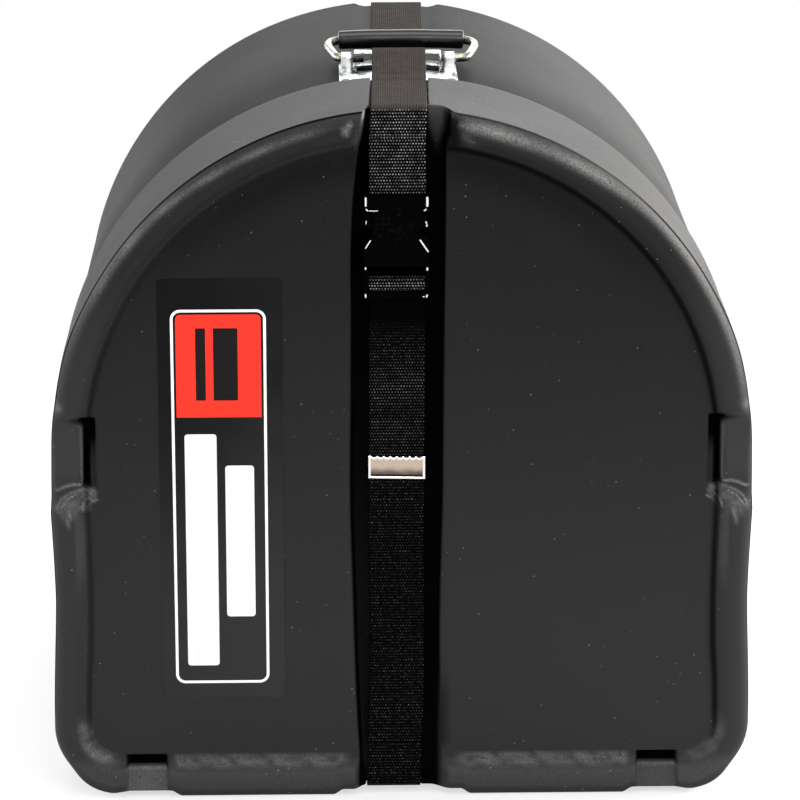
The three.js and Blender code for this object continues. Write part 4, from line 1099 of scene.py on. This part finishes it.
def face_layout(mould, base, normal, fine, grow):
    """Rings along the outline and a grid inside them: outline points or free points, normals and distances in."""
    rings = FINE_RINGS if fine else COARSE_RINGS
    count = len(base)
    left, right = LID_CHANNEL if mould.lid else BASE_CHANNEL
    edges = (left - grow, right + grow)
    xs = [np.arange(-300, 301, 8.0 if fine else 16.0)]
    for edge, out in zip(edges, (-1, 1)):
        xs.append(edge + out * np.array([-3, -1.9, -1.2, -0.6, 0, 0.6, 1.2, 1.9, 3.2]))
    xs = np.unique(np.round(np.concatenate(xs), 3))
    keep = [xs[0]]
    for x in xs[1:]:
        near = min(abs(x - edge) for edge in edges)
        if x - keep[-1] > (0.4 if near < 3.4 else 3.0):
            keep.append(x)
    gx, gz = [a.ravel() for a in np.meshgrid(np.array(keep), np.arange(20, 640, 6.0 if fine else 12.0))]
    if mould.lid:
        # the columns beside the channel's edges follow them
        follow_left = (CHANNEL_LEFT(gz) - left) * smooth(np.abs(gx - left), 34, 5)
        follow_right = (CHANNEL_RIGHT(gz) - right) * smooth(np.abs(gx - right), 34, 5)
        gx = gx + follow_left + follow_right
    inside = depth_inside(gx, gz, mould.inset + grow)
    free = inside > rings[-1] + 3
    gx, gz, inside = gx[free], gz[free], inside[free]
    spot = np.concatenate([base] * len(rings) + [np.stack([gx, gz], 1)])
    norm = np.concatenate([normal] * len(rings) + [np.zeros((len(gx), 2))])
    return spot, norm, np.concatenate([np.full(count, float(ring)) for ring in rings] + [inside])


def pocket_points(fine, grow, flat, deep):
    """Finer grids over the lid's pockets, and which of the plain points stay."""
    step = 1.5 if fine else 3.0
    grids, keep = [], np.ones(len(flat), bool)
    for sign in (-1, 1):
        for x0, x1, z0, z1 in POCKET_GRIDS:
            gx, gz = [a.ravel() for a in np.meshgrid(np.arange(x0, x1, step) * sign, np.arange(z0, z1, step))]
            inside = depth_inside(gx, gz, grow)
            ok = inside > 2.2
            grids.append((np.stack([gx, gz], 1)[ok], inside[ok]))
            side = flat[:, 0] * sign
            near = (side > x0 - step * 0.6) & (side < x1 + step * 0.2) & (flat[:, 1] > z0 - 1) & (flat[:, 1] < z1)
            keep &= ~(near & (deep > 1.6))
    return grids, keep


def shell_mesh(mould, fine, grow, rows):
    """One skin of a shell, outer or inner: its points, faces, the loop at its mouth, and the values its colour is
    painted from: the bead, pale scuffs with painted highlights, and painted shade.
    """
    base, normal = full_outline()
    count = len(base)
    spot, norm, deep = face_layout(mould, base, normal, fine, grow)
    flat = spot - norm * (mould.inset + grow + deep)[:, None]
    if mould.lid:
        grids, keep = pocket_points(fine, grow, flat, deep)
        keep[:count] = True
        added = np.concatenate([places for places, _ in grids])
        spot, flat = np.concatenate([spot[keep], added]), np.concatenate([flat[keep], added])
        norm = np.concatenate([norm[keep], np.zeros((len(added), 2))])
        deep = np.concatenate([deep[keep]] + [inside for _, inside in grids])
    # free points are moved out to the outline, so that the face can draw them in again
    free = (np.hypot(norm[:, 0], norm[:, 1]) < 0.5)[:, None]
    away = toward_outline(spot)
    norm = np.where(free, away, norm)
    spot = np.where(free, spot + away * (mould.inset + grow + deep)[:, None], spot)
    px, depth, pz, pale, hollow = mould.face(spot, norm, deep, grow)
    result = delaunay_2d_cdt([Vector(p) for p in flat.tolist()], [], [list(range(count))], 1, 1e-6)
    old = [group[0] if group else -1 for group in result[3]]
    triangles = [tuple(old[i] for i in face) for face in result[2]]
    faces = [t for t in triangles if min(t) >= 0 and len(set(t)) == 3]
    points = [mould.finish_points(px, depth, pz, grow)]
    # the bead's colour is painted darker towards the top, painted shade like the panels'
    bead = (1 - smooth(deep, mould.width * 0.62, mould.width * 0.98)) * (1 - 0.62 * smooth(pz, 400, 520))
    shades = {"bead": [bead], "pale": [pale], "hollow": [hollow]}
    loop, total = list(range(count)), len(px)
    for row, dark in zip(*mould.skirt(base, normal, depth[:count], rows, grow)):
        lower = list(range(total, total + count))
        faces += ring_faces(loop, lower)
        points.append(row)
        shades["bead"].append(np.ones(count))
        shades["pale"].append(np.zeros(count))
        shades["hollow"].append(dark)
        loop, total = lower, total + count
    return np.concatenate(points), faces, loop, {key: np.concatenate(values) for key, values in shades.items()}


# How far behind the rim the skirt's rows lie
LID_STEPS = (1.2, 3, 6, 11, 18, 27, 38, 50, 64, 78, 92, 106, 118, 126)
BASE_STEPS = (1.2, 3, 6, 11, 16, 24, 36, 55, 80, 110, 145, 180, 215, 250, 285, 318, 337, 345, 352, 380, 420, 450, 464)
INNER_SHARES = (0.03, 0.1, 0.2, 0.35, 0.5, 0.65, 0.8, 0.9, 0.97)


def make_shell(name, mould, finish):
    """A closed shell: its outer skin, its inner skin, and the lip that joins them at the mouth."""
    span = mould.reach - RIM
    outer_rows = [(s / span, 0.0) for s in (LID_STEPS if mould.lid else BASE_STEPS)]
    outer_rows += [(1 - 0.9 / span, 0.15), (1 - 0.35 / span, 0.45), (1.0, 1.1)]
    inner_rows = [(share, 0.0) for share in INNER_SHARES] + [(1 - 0.5 / span, -0.2), (1.0, -1.0)]
    points, faces, mouth, shades = shell_mesh(mould, True, 0.0, outer_rows)
    inner, more, inner_mouth, inner_shades = shell_mesh(mould, False, WALL, inner_rows)
    shift = len(points)
    faces += [tuple(i + shift for i in face) for face in more]
    faces += ring_faces(mouth, [i + shift for i in inner_mouth])
    shades = {key: np.concatenate([shades[key], inner_shades[key] * (key == "bead")]) for key in shades}
    return mesh_object(name, np.concatenate([points, inner]), faces, finish, None, shades)


# ---------------------------------------------------------------- webbing


LIFT = 1.2  # the strap's middle stands this far off the channel's floor
STRAP_FRONT, STRAP_BACK = CHANNEL_FLOOR - LIFT, CASE_DEPTH - CHANNEL_FLOOR + LIFT
LID_TOP, LID_LOW = CROWN_TOP - CHANNEL_CROWN + LIFT, GROUND + CHANNEL_CROWN - LIFT
BASE_TOP, BASE_LOW = CROWN_TOP - BASE_STEP - CHANNEL_CROWN + LIFT, GROUND + BASE_STEP + CHANNEL_CROWN - LIFT
STRAP_STEP = 2.2
STRAP_ROUNDING = 1.6

# Height, and how bright the painted glints of the filament ends are on the strap's front: painted light, brighter
# higher up and dark just under the buckle
STRAP_LIGHT = table(
    [(0, 0.14), (60, 0.14), (120, 0.11), (250, 0.1), (300, 0.13), (345, 0.25), (360, 0.26), (372, 0.2), (386, 0.33)]
    + [(405, 0.3), (420, 0.18), (440, 0.1), (456, 0.02), (484, 0.0), (485, 0.34), (500, 0.34), (560, 0.95), (600, 0.85)]
    + [(622, 1.0), (640, 1.0)]
)


def arc(u, v, radius, start, end, steps):
    """Points on an arc round (u, v), between two angles in degrees."""
    turns = [math.radians(a) for a in np.linspace(start, end, steps + 1)]
    return [(u + radius * math.cos(a), v + radius * math.sin(a)) for a in turns]


def resampled(points, spacing):
    """Even points along a line, and how far along it each lies: spacing gives their number from the length."""
    run = np.concatenate([[0], np.cumsum(np.hypot(*np.diff(points, axis=0).T))])
    even = np.linspace(0, run[-1], spacing(run[-1]))
    return np.stack([np.interp(even, run, points[:, 0]), np.interp(even, run, points[:, 1])], 1), even


def even_line(line):
    """A smooth line of even steps through corner points, with its corners eased."""
    points, fine = resampled(np.array(line, float), lambda run: max(int(run / 0.4), 8))
    kernel = int(STRAP_ROUNDING / (fine[1] - fine[0]))
    window = np.ones(2 * kernel + 1) / (2 * kernel + 1)
    for _ in range(2 if kernel else 0):
        before = 2 * points[0] - points[1 : kernel + 1][::-1]
        after = 2 * points[-1] - points[-kernel - 1 : -1][::-1]
        padded = np.concatenate([before, points, after])
        points = np.stack([np.convolve(padded[:, i], window, "valid") for i in range(2)], 1)
    return resampled(points, lambda run: max(int(run / STRAP_STEP) + 1, 4))


def make_strap(name, line, finish, thickness, start):
    """Flat webbing along a line of (depth, height), with rounded selvedges and closed ends."""
    centre, run = even_line(line)
    tangent = np.gradient(centre, axis=0)
    tangent /= np.hypot(*tangent.T)[:, None]
    side = np.stack([-tangent[:, 1], tangent[:, 0]], 1)
    half = STRAP_WIDTH / 2
    selvedge = np.array([0, 0.25, 0.8, 1.8])
    across = np.concatenate([selvedge - half, np.linspace(-half + 4, half - 4, 11), half - selvedge[::-1]])
    height = thickness / 2 * np.interp(half - np.abs(across), selvedge, [0.12, 0.6, 0.95, 1.0])
    section = [(a, h) for a, h in zip(across, height)] + [(a, -h) for a, h in zip(across[::-1], height[::-1])]
    points, shades = [], {"along": [], "across": [], "lying": [], "bright": []}
    for (y, z), (ny, nz), s in zip(centre, side, run + start):
        sway = 0.25 * math.sin(s / 43.0) + 0.12 * math.sin(s / 17.0)
        sway += float(DRIFT(y) * smooth(z, 400, 618) + foot_sway(z))
        in_front = y < 100
        at_buckle = in_front and 450 < z < 600
        # painted light: the strap is painted lighter where it lies flat, and its front's glints by height
        lying = 0.0 if at_buckle else float(smooth(abs(nz), 0.55, 0.85))
        bright = float(STRAP_LIGHT(z)) if in_front else 0.3
        for a, h in section:
            points.append((STRAP_MIDDLE + a + sway, y + ny * h, z + nz * h))
            for key, value in zip(shades, (s * MM, a * MM, lying, bright)):
                shades[key].append(value)
    count = len(section)
    faces = grid_faces(len(centre), count, closed=True)
    last = (len(centre) - 1) * count
    for k in range(count // 2 - 1):
        faces.append((k, k + 1, count - 2 - k, count - 1 - k))
        faces.append((last + k + 1, last + k, last + count - 1 - k, last + count - 2 - k))
    return mesh_object(name, points, faces, finish, 50, shades)


def front_depth(z):
    """The strap's depth in front: it stands forward of the channel's floor near its lower turn."""
    return STRAP_FRONT - 8.1 * float(smooth(z, 100, 22))


def back_depth(z):
    """The strap's depth behind, on the channel that runs out towards the crown and the floor."""
    return STRAP_BACK + 13.3 * float(np.maximum(smooth(z, 560, 636), smooth(z, 95, 20)))


def strap_lines():
    """Centre lines of the webbing's stretches, as (depth, height) in millimetres."""
    bend = 10 + LIFT
    fold = LID_TOP - bend
    turn, edge = 9.0, BASE_TOP + 0.7
    # where the stretch behind meets the ones over the crown and under the floor
    back_top, back_low = BASE_TOP - DRAFT - bend - 30, BASE_LOW + DRAFT + bend + 30
    return {
        "crown_lid": [
            *[(8.0, fold - 10), (8.6, 627), (13.0, 637), (16.9, 643.6)],
            *arc(24.5, 643.9, 8.0, 160, 90, 8),
            *[(60, 650.6), (132, LID_TOP)],
        ],
        "crown_span": [(132.3, LID_TOP), (142, 649.75), (150, 649.6), (205.7, 659.1), (209.3, 659.5), (212.5, 659.5)],
        "crown_base": [
            *[(212.8, 659.5), (217.8, 659.5), (219.3, 658.6), (239.5, BASE_TOP + 0.9), (243.5, BASE_TOP)],
            *[(300, BASE_TOP + 0.2), (420, edge)],
            *arc(back_depth(636) - turn, edge - turn, turn, 90, 10, 8),
            *[(back_depth(z), z) for z in (628, 620, 612, back_top)],
        ],
        "back": [(back_depth(z), z) for z in np.linspace(back_top - 0.3, back_low + 0.3, 60)],
        "floor_base": [
            *[(back_depth(z), z) for z in (back_low, 46, 38, 31)],
            *arc(back_depth(26) - turn, BASE_LOW + turn, turn, 0, -90, 8),
            *[(230, BASE_LOW), (185, BASE_LOW)],
        ],
        "floor_span": [(184.7, BASE_LOW), (177, BASE_LOW), (143.8, LID_LOW), (132.3, LID_LOW)],
        "floor_lid": [
            *[(132, LID_LOW), (60, LID_LOW), (26, 5.8)],
            *arc(13.7, 11.4, 6.0, -90, -180, 8),
            *[(front_depth(z), z) for z in (22, 30, 40, LID_LOW + bend + 30)],
        ],
    }


# Depths and levels of the buckle
BUCKLE_LOW = 479.0
BUCKLE_FRONT = 4.5
LADDER_FRONT, LADDER_BACK = 6.0, 10.5
LOW_SLOT, HIGH_SLOT = 485.0, 496.0
MALE_LOW = 560.2
HALF_THICK = 0.9


def buckle_lines():
    """Centre lines of the webbing that is threaded through the buckle."""
    middle = (LOW_SLOT + HIGH_SLOT) / 2
    wrap = LADDER_FRONT - 0.3 - HALF_THICK
    top = HIGH_SLOT + 2 * HALF_THICK + LIFT
    male_top, bar_z = MALE_LOW + 15, MALE_LOW + 9.2
    inner = 2.35
    radius = inner + HALF_THICK
    bar_y = BUCKLE_FRONT + 2.4 + 0.35 + 1.8 + inner
    front_y = bar_y - radius
    fold_y, fold = 8.0, 627.5
    sewn = male_top + 0.35 + 2.1

    def behind(z):
        """Depth of the sewn end, which lies behind the leaning front of the loop."""
        return front_y + (fold_y - front_y) * max(0.0, z - male_top) / (fold - male_top) + 2.1

    return {
        "front_loop": [
            *[(behind(z), z) for z in (bar_z + 34, sewn)],
            *arc(bar_y, bar_z, radius, 0, -180, 12),
            *[(front_y, male_top), (fold_y, fold - 0.3)],
        ],
        "front_lower": [
            *[(front_depth(z), z) for z in (49.8, 58, 66, 76, 88, 102)],
            (STRAP_FRONT, middle - 1.8),
            ((STRAP_FRONT + LADDER_BACK) / 2 + 1.8, HIGH_SLOT),
            (LADDER_BACK + HALF_THICK, top - HALF_THICK),
            ((LADDER_FRONT + LADDER_BACK) / 2, top),
            (LADDER_FRONT - 0.3, top - 0.3),
            (wrap, HIGH_SLOT + HALF_THICK),
            (wrap, 493.55),
        ],
        "tail": [
            (wrap, 493.25),
            (wrap, middle - 0.3),
            (LADDER_FRONT + HALF_THICK, 487.4),
            (LADDER_BACK + HALF_THICK, 485.9),
            (STRAP_FRONT - 2.4, BUCKLE_LOW + 1.8),
            (STRAP_FRONT - 2.1, BUCKLE_LOW - 6),
            (STRAP_FRONT - 2.1, 381),
            (STRAP_FRONT - 3.0, 332),
            (STRAP_FRONT - 3.0, 309),
        ],
    }


TIP_TALL = 22.4
TIP_TEETH = 9
TIP_DROP = 3.6  # how far the tip hangs below its solid


def crimped_tip(finish):
    """The folded metal end of the strap: a rolled rim on three sides, and crimping teeth along the top."""
    low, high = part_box("strap_tip")
    left, wide = low[0] / MM, high[0] / MM - low[0] / MM
    front, back = low[1] / MM + MID_DEPTH, high[1] / MM + MID_DEPTH
    foot = low[2] / MM - TIP_DROP
    us, vs = np.linspace(0, wide, 111), np.concatenate([[0, 0.15, 0.4, 0.8], np.linspace(1.3, TIP_TALL, 40)])
    columns, rows = len(us), len(vs)
    u, v = [a.ravel() for a in np.meshgrid(us, vs)]
    scallop = (0.5 + 0.5 * np.cos(u / wide * TIP_TEETH * 2 * math.pi)) ** 0.7
    tooth = 1.7 * scallop * smooth(u, 1, 4) * smooth(wide - u, 1, 4)
    height = v / TIP_TALL * (TIP_TALL - tooth * smooth(v, TIP_TALL * 0.5, TIP_TALL)) - 0.02 * (u - 26)
    edge = np.minimum(np.minimum(u, wide - u), v)
    rim = smooth(edge, 2.9, 2.3)
    teeth = smooth(v, TIP_TALL - 3.2, TIP_TALL - 1.8)
    rounded = 0.9 * np.sqrt(1 - np.clip(edge / 0.9, 0, 1)) + 0.7 * np.clip(1 - (TIP_TALL - v) / 0.9, 0, 1)
    raised = 0.7 * rim * smooth(edge, 0, 0.6) + 0.3 * np.sin(np.clip(v / TIP_TALL, 0, 1) * math.pi)
    # painted shadow line above the bottom rim
    groove = band(v, 2.6, 3.1, 4.2, 5.2) * (1 - rim) * smooth(edge, 2.6, 3.0)
    front_points = np.stack([left + u, front + 0.5 + rounded - raised, foot + height], 1)
    back_points = np.stack([left + u, back - 0.2 - rounded, foot + height], 1)
    count = len(u)
    faces = grid_faces(rows, columns)
    faces += [tuple(i + count for i in face) for face in faces]
    border = list(range(columns)) + [i * columns + columns - 1 for i in range(1, rows)]
    border += [(rows - 1) * columns + j for j in range(columns - 2, -1, -1)]
    border += [i * columns for i in range(rows - 2, 0, -1)]
    faces += ring_faces(border, [i + count for i in border])
    shades = {"rim": np.maximum(rim, teeth), "groove": groove, "fade": smooth(v, 3.0, 15.0)}
    shades = {key: np.concatenate([value, value]) for key, value in shades.items()}
    return mesh_object("crimped_tip", np.concatenate([front_points, back_points]), faces, finish, 60, shades)


# ---------------------------------------------------------------- handle


HANDLE_PLAY = 4.4  # the loose wire and its grip have shifted to the right
PIVOT_DEPTH, PIVOT_HEIGHT = 202.0, 654.0
WIRE_HALF = 60.0  # from the middle out to the arms
WIRE_BEND = 7.2
GRIP_DEPTH, GRIP_HEIGHT = 261.9, 657.5
GRIP_HALF = 59.0
GRIP_ROUND = 2.5  # the length of the grip's rounded ends


def handle_path():
    """The bail's centre line: across, depth and height."""
    slope = math.atan2(3.5, 60)
    arm = np.array([7.0, 31.0])
    arm /= np.hypot(*arm)

    def at(x, reach):
        """A place on the folded handle's plane, so far from its pivots."""
        along, up = reach * math.cos(slope), reach * math.sin(slope)
        return np.array([x + HANDLE_PLAY, PIVOT_DEPTH + along, PIVOT_HEIGHT + up])

    def curve(a, b, c, steps):
        return [(1 - t) ** 2 * a + 2 * t * (1 - t) * b + t * t * c for t in np.linspace(0, 1, steps)]

    def half(side):
        tip, start, corner = at(side * 36, 0), at(side * (WIRE_HALF - WIRE_BEND), 0), at(side * WIRE_HALF, 0)
        out = at(side * (WIRE_HALF + WIRE_BEND * arm[0]), WIRE_BEND * arm[1])
        turn, bulge, end = at(side * 67.0, 31), at(side * 72.6, 58), at(side * 53, 60)
        return [tip] + curve(start, corner, out, 9) + curve(turn, bulge, end, 17)

    left, right = half(-1), half(1)
    middle = [left[-1] + (right[-1] - left[-1]) * t for t in np.linspace(0, 1, 12)[1:-1]]
    return left + middle + right[::-1]


def make_tube(name, path, radii, finish, sides=20):
    """A round bar along a path, closed at both ends, with a radius at each point."""
    path = np.array(path, float)
    tangent = np.gradient(path, axis=0)
    tangent /= np.linalg.norm(tangent, axis=1)[:, None]
    guide = np.array([0.0, -0.1, 1.0])  # nowhere along the bar
    points = []
    for place, along, radius in zip(path, tangent, radii):
        first = np.cross(along, guide)
        first /= np.linalg.norm(first)
        second = np.cross(first, along)
        for k in range(sides):
            a = 2 * math.pi * k / sides
            points.append(place + radius * (math.cos(a) * first + math.sin(a) * second))
    faces = grid_faces(len(path), sides, closed=True)
    faces.append(tuple(range(sides))[::-1])
    faces.append(tuple(range(len(points) - sides, len(points))))
    return mesh_object(name, points, faces, finish, 55)


# ---------------------------------------------------------------- operators


class DRUMCASE_OT_lid(bpy.types.Operator):
    """Make the lid: a cap with a rolled bead, a sunk panel, a strap channel and tie-down pockets"""

    bl_idname = "drum_case.lid"
    bl_label = "Lid shell"

    def execute(self, context):
        care = context.scene.drum_case_shell
        lid = make_shell("lid_moulding", Mould(care, True), shared_finish("shell_plastic", context))
        settle(lid, "lid", "lid_shell")
        return {"FINISHED"}


class DRUMCASE_OT_base(bpy.types.Operator):
    """Make the base: a deep tub with the same outline, drawn in to slide inside the lid"""

    bl_idname = "drum_case.base"
    bl_label = "Base shell"

    def execute(self, context):
        care = context.scene.drum_case_shell
        base = make_shell("base_moulding", Mould(care, False), shared_finish("shell_plastic", context))
        settle(base, "base", "base_shell")
        return {"FINISHED"}


class DRUMCASE_OT_webbing(bpy.types.Operator):
    """Make the strap's stretches round the case"""

    bl_idname = "drum_case.webbing"
    bl_label = "Webbing strap"

    def execute(self, context):
        care = context.scene.drum_case_webbing
        finish = shared_finish("webbing", context)
        thickness = care.thickness * 1000
        bodies = {"crown_lid": "lid", "floor_lid": "lid", "front_lower": "lid", "tail": "lid"}
        # how far along the strap a stretch starts, in millimetres, so that its weave runs on
        starts = {"crown_lid": 61, "crown_span": 196, "crown_base": 277, "back": 590}
        for part, line in {**strap_lines(), **buckle_lines()}.items():
            strap = make_strap("webbing_" + part, line, finish, thickness, starts.get(part, 0))
            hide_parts("strap_" + part)
            if part == "crown_span":
                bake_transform(strap)
            elif part == "floor_span":
                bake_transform(strap)
            elif part == "front_loop":
                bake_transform(strap)
            else:
                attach(strap, bodies.get(part, "base"))
        return {"FINISHED"}


class DRUMCASE_OT_buckle(bpy.types.Operator):
    """Finish the side-release buckle and the crimped strap tip"""

    bl_idname = "drum_case.buckle"
    bl_label = "Buckle and strap tip"

    def execute(self, context):
        moulded = shared_finish("buckle_plastic", context)
        for node in ("buckle_female", "buckle_male", "buckle_prong_left", "buckle_prong_right"):
            dress(node, moulded, BUCKLE_EDGE)
        tip = crimped_tip(shared_finish("tip_nickel", context))
        settle(tip, "lid", "strap_tip")
        return {"FINISHED"}


class DRUMCASE_OT_handle(bpy.types.Operator):
    """Make the folding handle: riveted plate, bent wire and moulded grip"""

    bl_idname = "drum_case.handle"
    bl_label = "Handle"

    def execute(self, context):
        care = context.scene.drum_case_hardware
        zinc = shared_finish("zinc_plate", context)
        drawn = shared_finish("zinc_wire", context)
        dress("handle_plate", zinc, PLATE_EDGE)
        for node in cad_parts:
            if "rivet" in node or "washer" in node:
                dress(node, drawn)
        path = handle_path()
        wire = make_tube("bent_wire", path, np.full(len(path), care.wire * 1000), drawn)
        settle(wire, "handle", "handle_bail")
        round_from = GRIP_HALF - GRIP_ROUND
        end = np.linspace(round_from, GRIP_HALF, 6)
        reach = np.concatenate([-end[::-1], np.linspace(-55, 55, 41), end])
        arch = care.grip_arch * 1000 * (1 - (reach / GRIP_HALF) ** 2)
        into_end = np.clip(np.abs(reach) - round_from, 0, GRIP_ROUND) / GRIP_ROUND
        radius = care.grip_radius * 1000 - 2.4 * (1 - np.sqrt(np.clip(1 - into_end**2, 0, 1)))
        radius += 0.12 * np.sin(reach / 7.0)
        spots = [(x + HANDLE_PLAY, GRIP_DEPTH, GRIP_HEIGHT + a) for x, a in zip(reach, arch)]
        grip = make_tube("moulded_grip", spots, radius, shared_finish("grip_vinyl", context), 32)
        settle(grip, "handle", "handle_grip")
        return {"FINISHED"}


class DRUMCASE_OT_label(bpy.types.Operator):
    """Print the plain label"""

    bl_idname = "drum_case.label"
    bl_label = "Label"

    def execute(self, context):
        dress("label_card", shared_finish("label_print", context))
        return {"FINISHED"}


# Lamps: where each stands, in metres from the frame's origin, its width and height, the setting that its power
# comes from, its share of that power, and its tint
PLAIN, WARM = (1.0, 1.0, 1.0), (1.0, 0.97, 0.93)
LAMPS = {
    "top": ((0.0, -0.4, 3.2), 2.4, 1.6, "top_light", 1.0, PLAIN),
    "key": ((0.7, -2.6, 2.4), 1.6, 1.0, "key_light", 1.0, PLAIN),
    "left": ((-3.0, -1.4, 1.4), 0.45, 1.6, "side_light", 1.0, PLAIN),
    "right": ((3.0, -1.4, 1.4), 0.45, 1.6, "side_light", 1.0, PLAIN),
    "behind": ((0.2, 3.2, 1.7), 3.0, 1.2, "back_light", 1.0, PLAIN),
    "side_left": ((-3.0, 0.4, 1.2), 1.2, 1.4, "rim_light", 0.8, PLAIN),
    "side_right": ((3.0, 0.5, 1.5), 1.4, 1.4, "rim_light", 3.9, WARM),
    "behind_left": ((-2.4, 2.2, 1.1), 1.2, 1.4, "rim_light", 1.2, PLAIN),
    "behind_right": ((2.4, 2.3, 1.3), 1.4, 1.4, "rim_light", 1.2, WARM),
}
LAMP_AIM = (0, 0, 0.3)
FLOOR_REACH = 30.0
FLOOR_DROP = -0.0006  # just under the lowest point of the feet
SENSOR_WIDTH = 36
LENS_SHIFT = (0.0044, -0.006)  # of the photograph's frame, as shares of its size
FAR_LIMIT = 200


def studio_world(care):
    """White for the camera and in reflections, and a weak even light on the case."""
    world = bpy.data.worlds.new("studio")
    world.use_nodes = True
    world.node_tree.nodes.clear()
    sky = Nodes(world.node_tree)
    white = sky.seen()
    output = sky.add("ShaderNodeOutputWorld", output=None)
    strength = white + (1.0 - white) * care.sky
    light = sky.add("ShaderNodeBackground", values={"Color": (1, 1, 1), "Strength": strength})
    sky.put(output.inputs["Surface"], light)
    return world


def pale_floor(care):
    """A large floor that turns white away from the case's shadow."""
    finish = Finish("pale_floor", Base_Color=care.floor, Roughness=0.9, Specular_IOR_Level=0.1)
    x, y, *_ = finish.place()
    away = ((x * x + y * y) ** 0.5).ramp(430.0, 1500.0)
    glow = finish.seen() * (away * 0.35 + 0.65)
    finish.cover(glow, "ShaderNodeEmission", Color=(1.0, 1.0, 1.0), Strength=1.0)
    mesh = bpy.data.meshes.new("floor")
    corners = [(u * FLOOR_REACH, v * FLOOR_REACH, 0) for u, v in ((-1, -1), (1, -1), (1, 1), (-1, 1))]
    mesh.from_pydata(corners, [], [(0, 1, 2, 3)])
    mesh.materials.append(finish.material)
    floor = bpy.data.objects.new("floor", mesh)
    floor.location.z = FLOOR_DROP
    return floor


def soft_lamp(name, place, width, height, watts, tint):
    """A rectangular lamp that faces the case and isn't seen itself."""
    data = bpy.data.lights.new(name, "AREA")
    data.energy = watts
    data.color = tint
    data.shape = "RECTANGLE"
    data.size = width
    data.size_y = height
    lamp = bpy.data.objects.new(name, data)
    lamp.location = place
    lamp.rotation_euler = (Vector(LAMP_AIM) - Vector(place)).to_track_quat("-Z", "Y").to_euler()
    lamp.visible_camera = False
    return lamp


def photo_camera(care):
    """The camera at the photograph's viewing angle."""
    e, a = care.elevation, care.azimuth
    back = Vector((math.sin(a) * math.cos(e), -math.cos(a) * math.cos(e), math.sin(e)))
    data = bpy.data.cameras.new("photo_camera")
    data.lens = care.lens
    data.sensor_width = SENSOR_WIDTH
    data.shift_x, data.shift_y = LENS_SHIFT
    data.clip_end = FAR_LIMIT
    camera = bpy.data.objects.new("photo_camera", data)
    camera.location = Vector((0, 0, care.target_height)) + back * care.distance
    camera.rotation_euler = (-back).to_track_quat("-Z", "Y").to_euler()
    return camera


class DRUMCASE_OT_stage(bpy.types.Operator):
    """Set the floor, the soft lamps, the white surroundings and the camera"""

    bl_idname = "drum_case.stage"
    bl_label = "Stage"

    def execute(self, context):
        care = context.scene.drum_case_stage
        scene = context.scene
        scene.view_settings.view_transform = "Standard"
        scene.world = studio_world(care)
        floor = pale_floor(care)
        scene.collection.objects.link(floor)
        for name, (place, width, height, setting, share, tint) in LAMPS.items():
            lamp = soft_lamp(name, place, width, height, getattr(care, setting) * share, tint)
            scene.collection.objects.link(lamp)
        camera = photo_camera(care)
        scene.collection.objects.link(camera)
        scene.camera = camera
        return {"FINISHED"}


class DRUMCASE_PT_panel(bpy.types.Panel):
    """Lists the case's pieces and the settings they are made from"""

    bl_idname = "DRUMCASE_PT_panel"
    bl_label = "Drum case"
    bl_space_type = "VIEW_3D"
    bl_region_type = "UI"
    bl_category = "Drum case"

    def draw(self, context):
        for maker in MAKERS:
            self.layout.operator(maker.bl_idname)
        for group in SETTINGS:
            box = self.layout.box()
            care = getattr(context.scene, group)
            for key in care.__annotations__:
                box.prop(care, key)


SETTINGS = {
    "drum_case_shell": ShellSettings,
    "drum_case_webbing": WebbingSettings,
    "drum_case_hardware": HardwareSettings,
    "drum_case_label": LabelSettings,
    "drum_case_stage": StageSettings,
}
MAKERS = (
    DRUMCASE_OT_stage,
    DRUMCASE_OT_base,
    DRUMCASE_OT_lid,
    DRUMCASE_OT_webbing,
    DRUMCASE_OT_buckle,
    DRUMCASE_OT_handle,
    DRUMCASE_OT_label,
)


def register():
    for group in SETTINGS.values():
        bpy.utils.register_class(group)
    for name, group in SETTINGS.items():
        setattr(bpy.types.Scene, name, PointerProperty(type=group))
    for maker in MAKERS:
        bpy.utils.register_class(maker)
    bpy.utils.register_class(DRUMCASE_PT_panel)


def unregister():
    bpy.utils.unregister_class(DRUMCASE_PT_panel)
    for maker in reversed(MAKERS):
        bpy.utils.unregister_class(maker)
    for name in SETTINGS:
        delattr(bpy.types.Scene, name)
    for group in SETTINGS.values():
        bpy.utils.unregister_class(group)


def main():
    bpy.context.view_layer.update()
    register()
    bpy.ops.drum_case.stage()
    bpy.ops.drum_case.base()
    bpy.ops.drum_case.lid()
    bpy.ops.drum_case.webbing()
    bpy.ops.drum_case.buckle()
    bpy.ops.drum_case.handle()
    bpy.ops.drum_case.label()


if __name__ == "__main__":
    main()
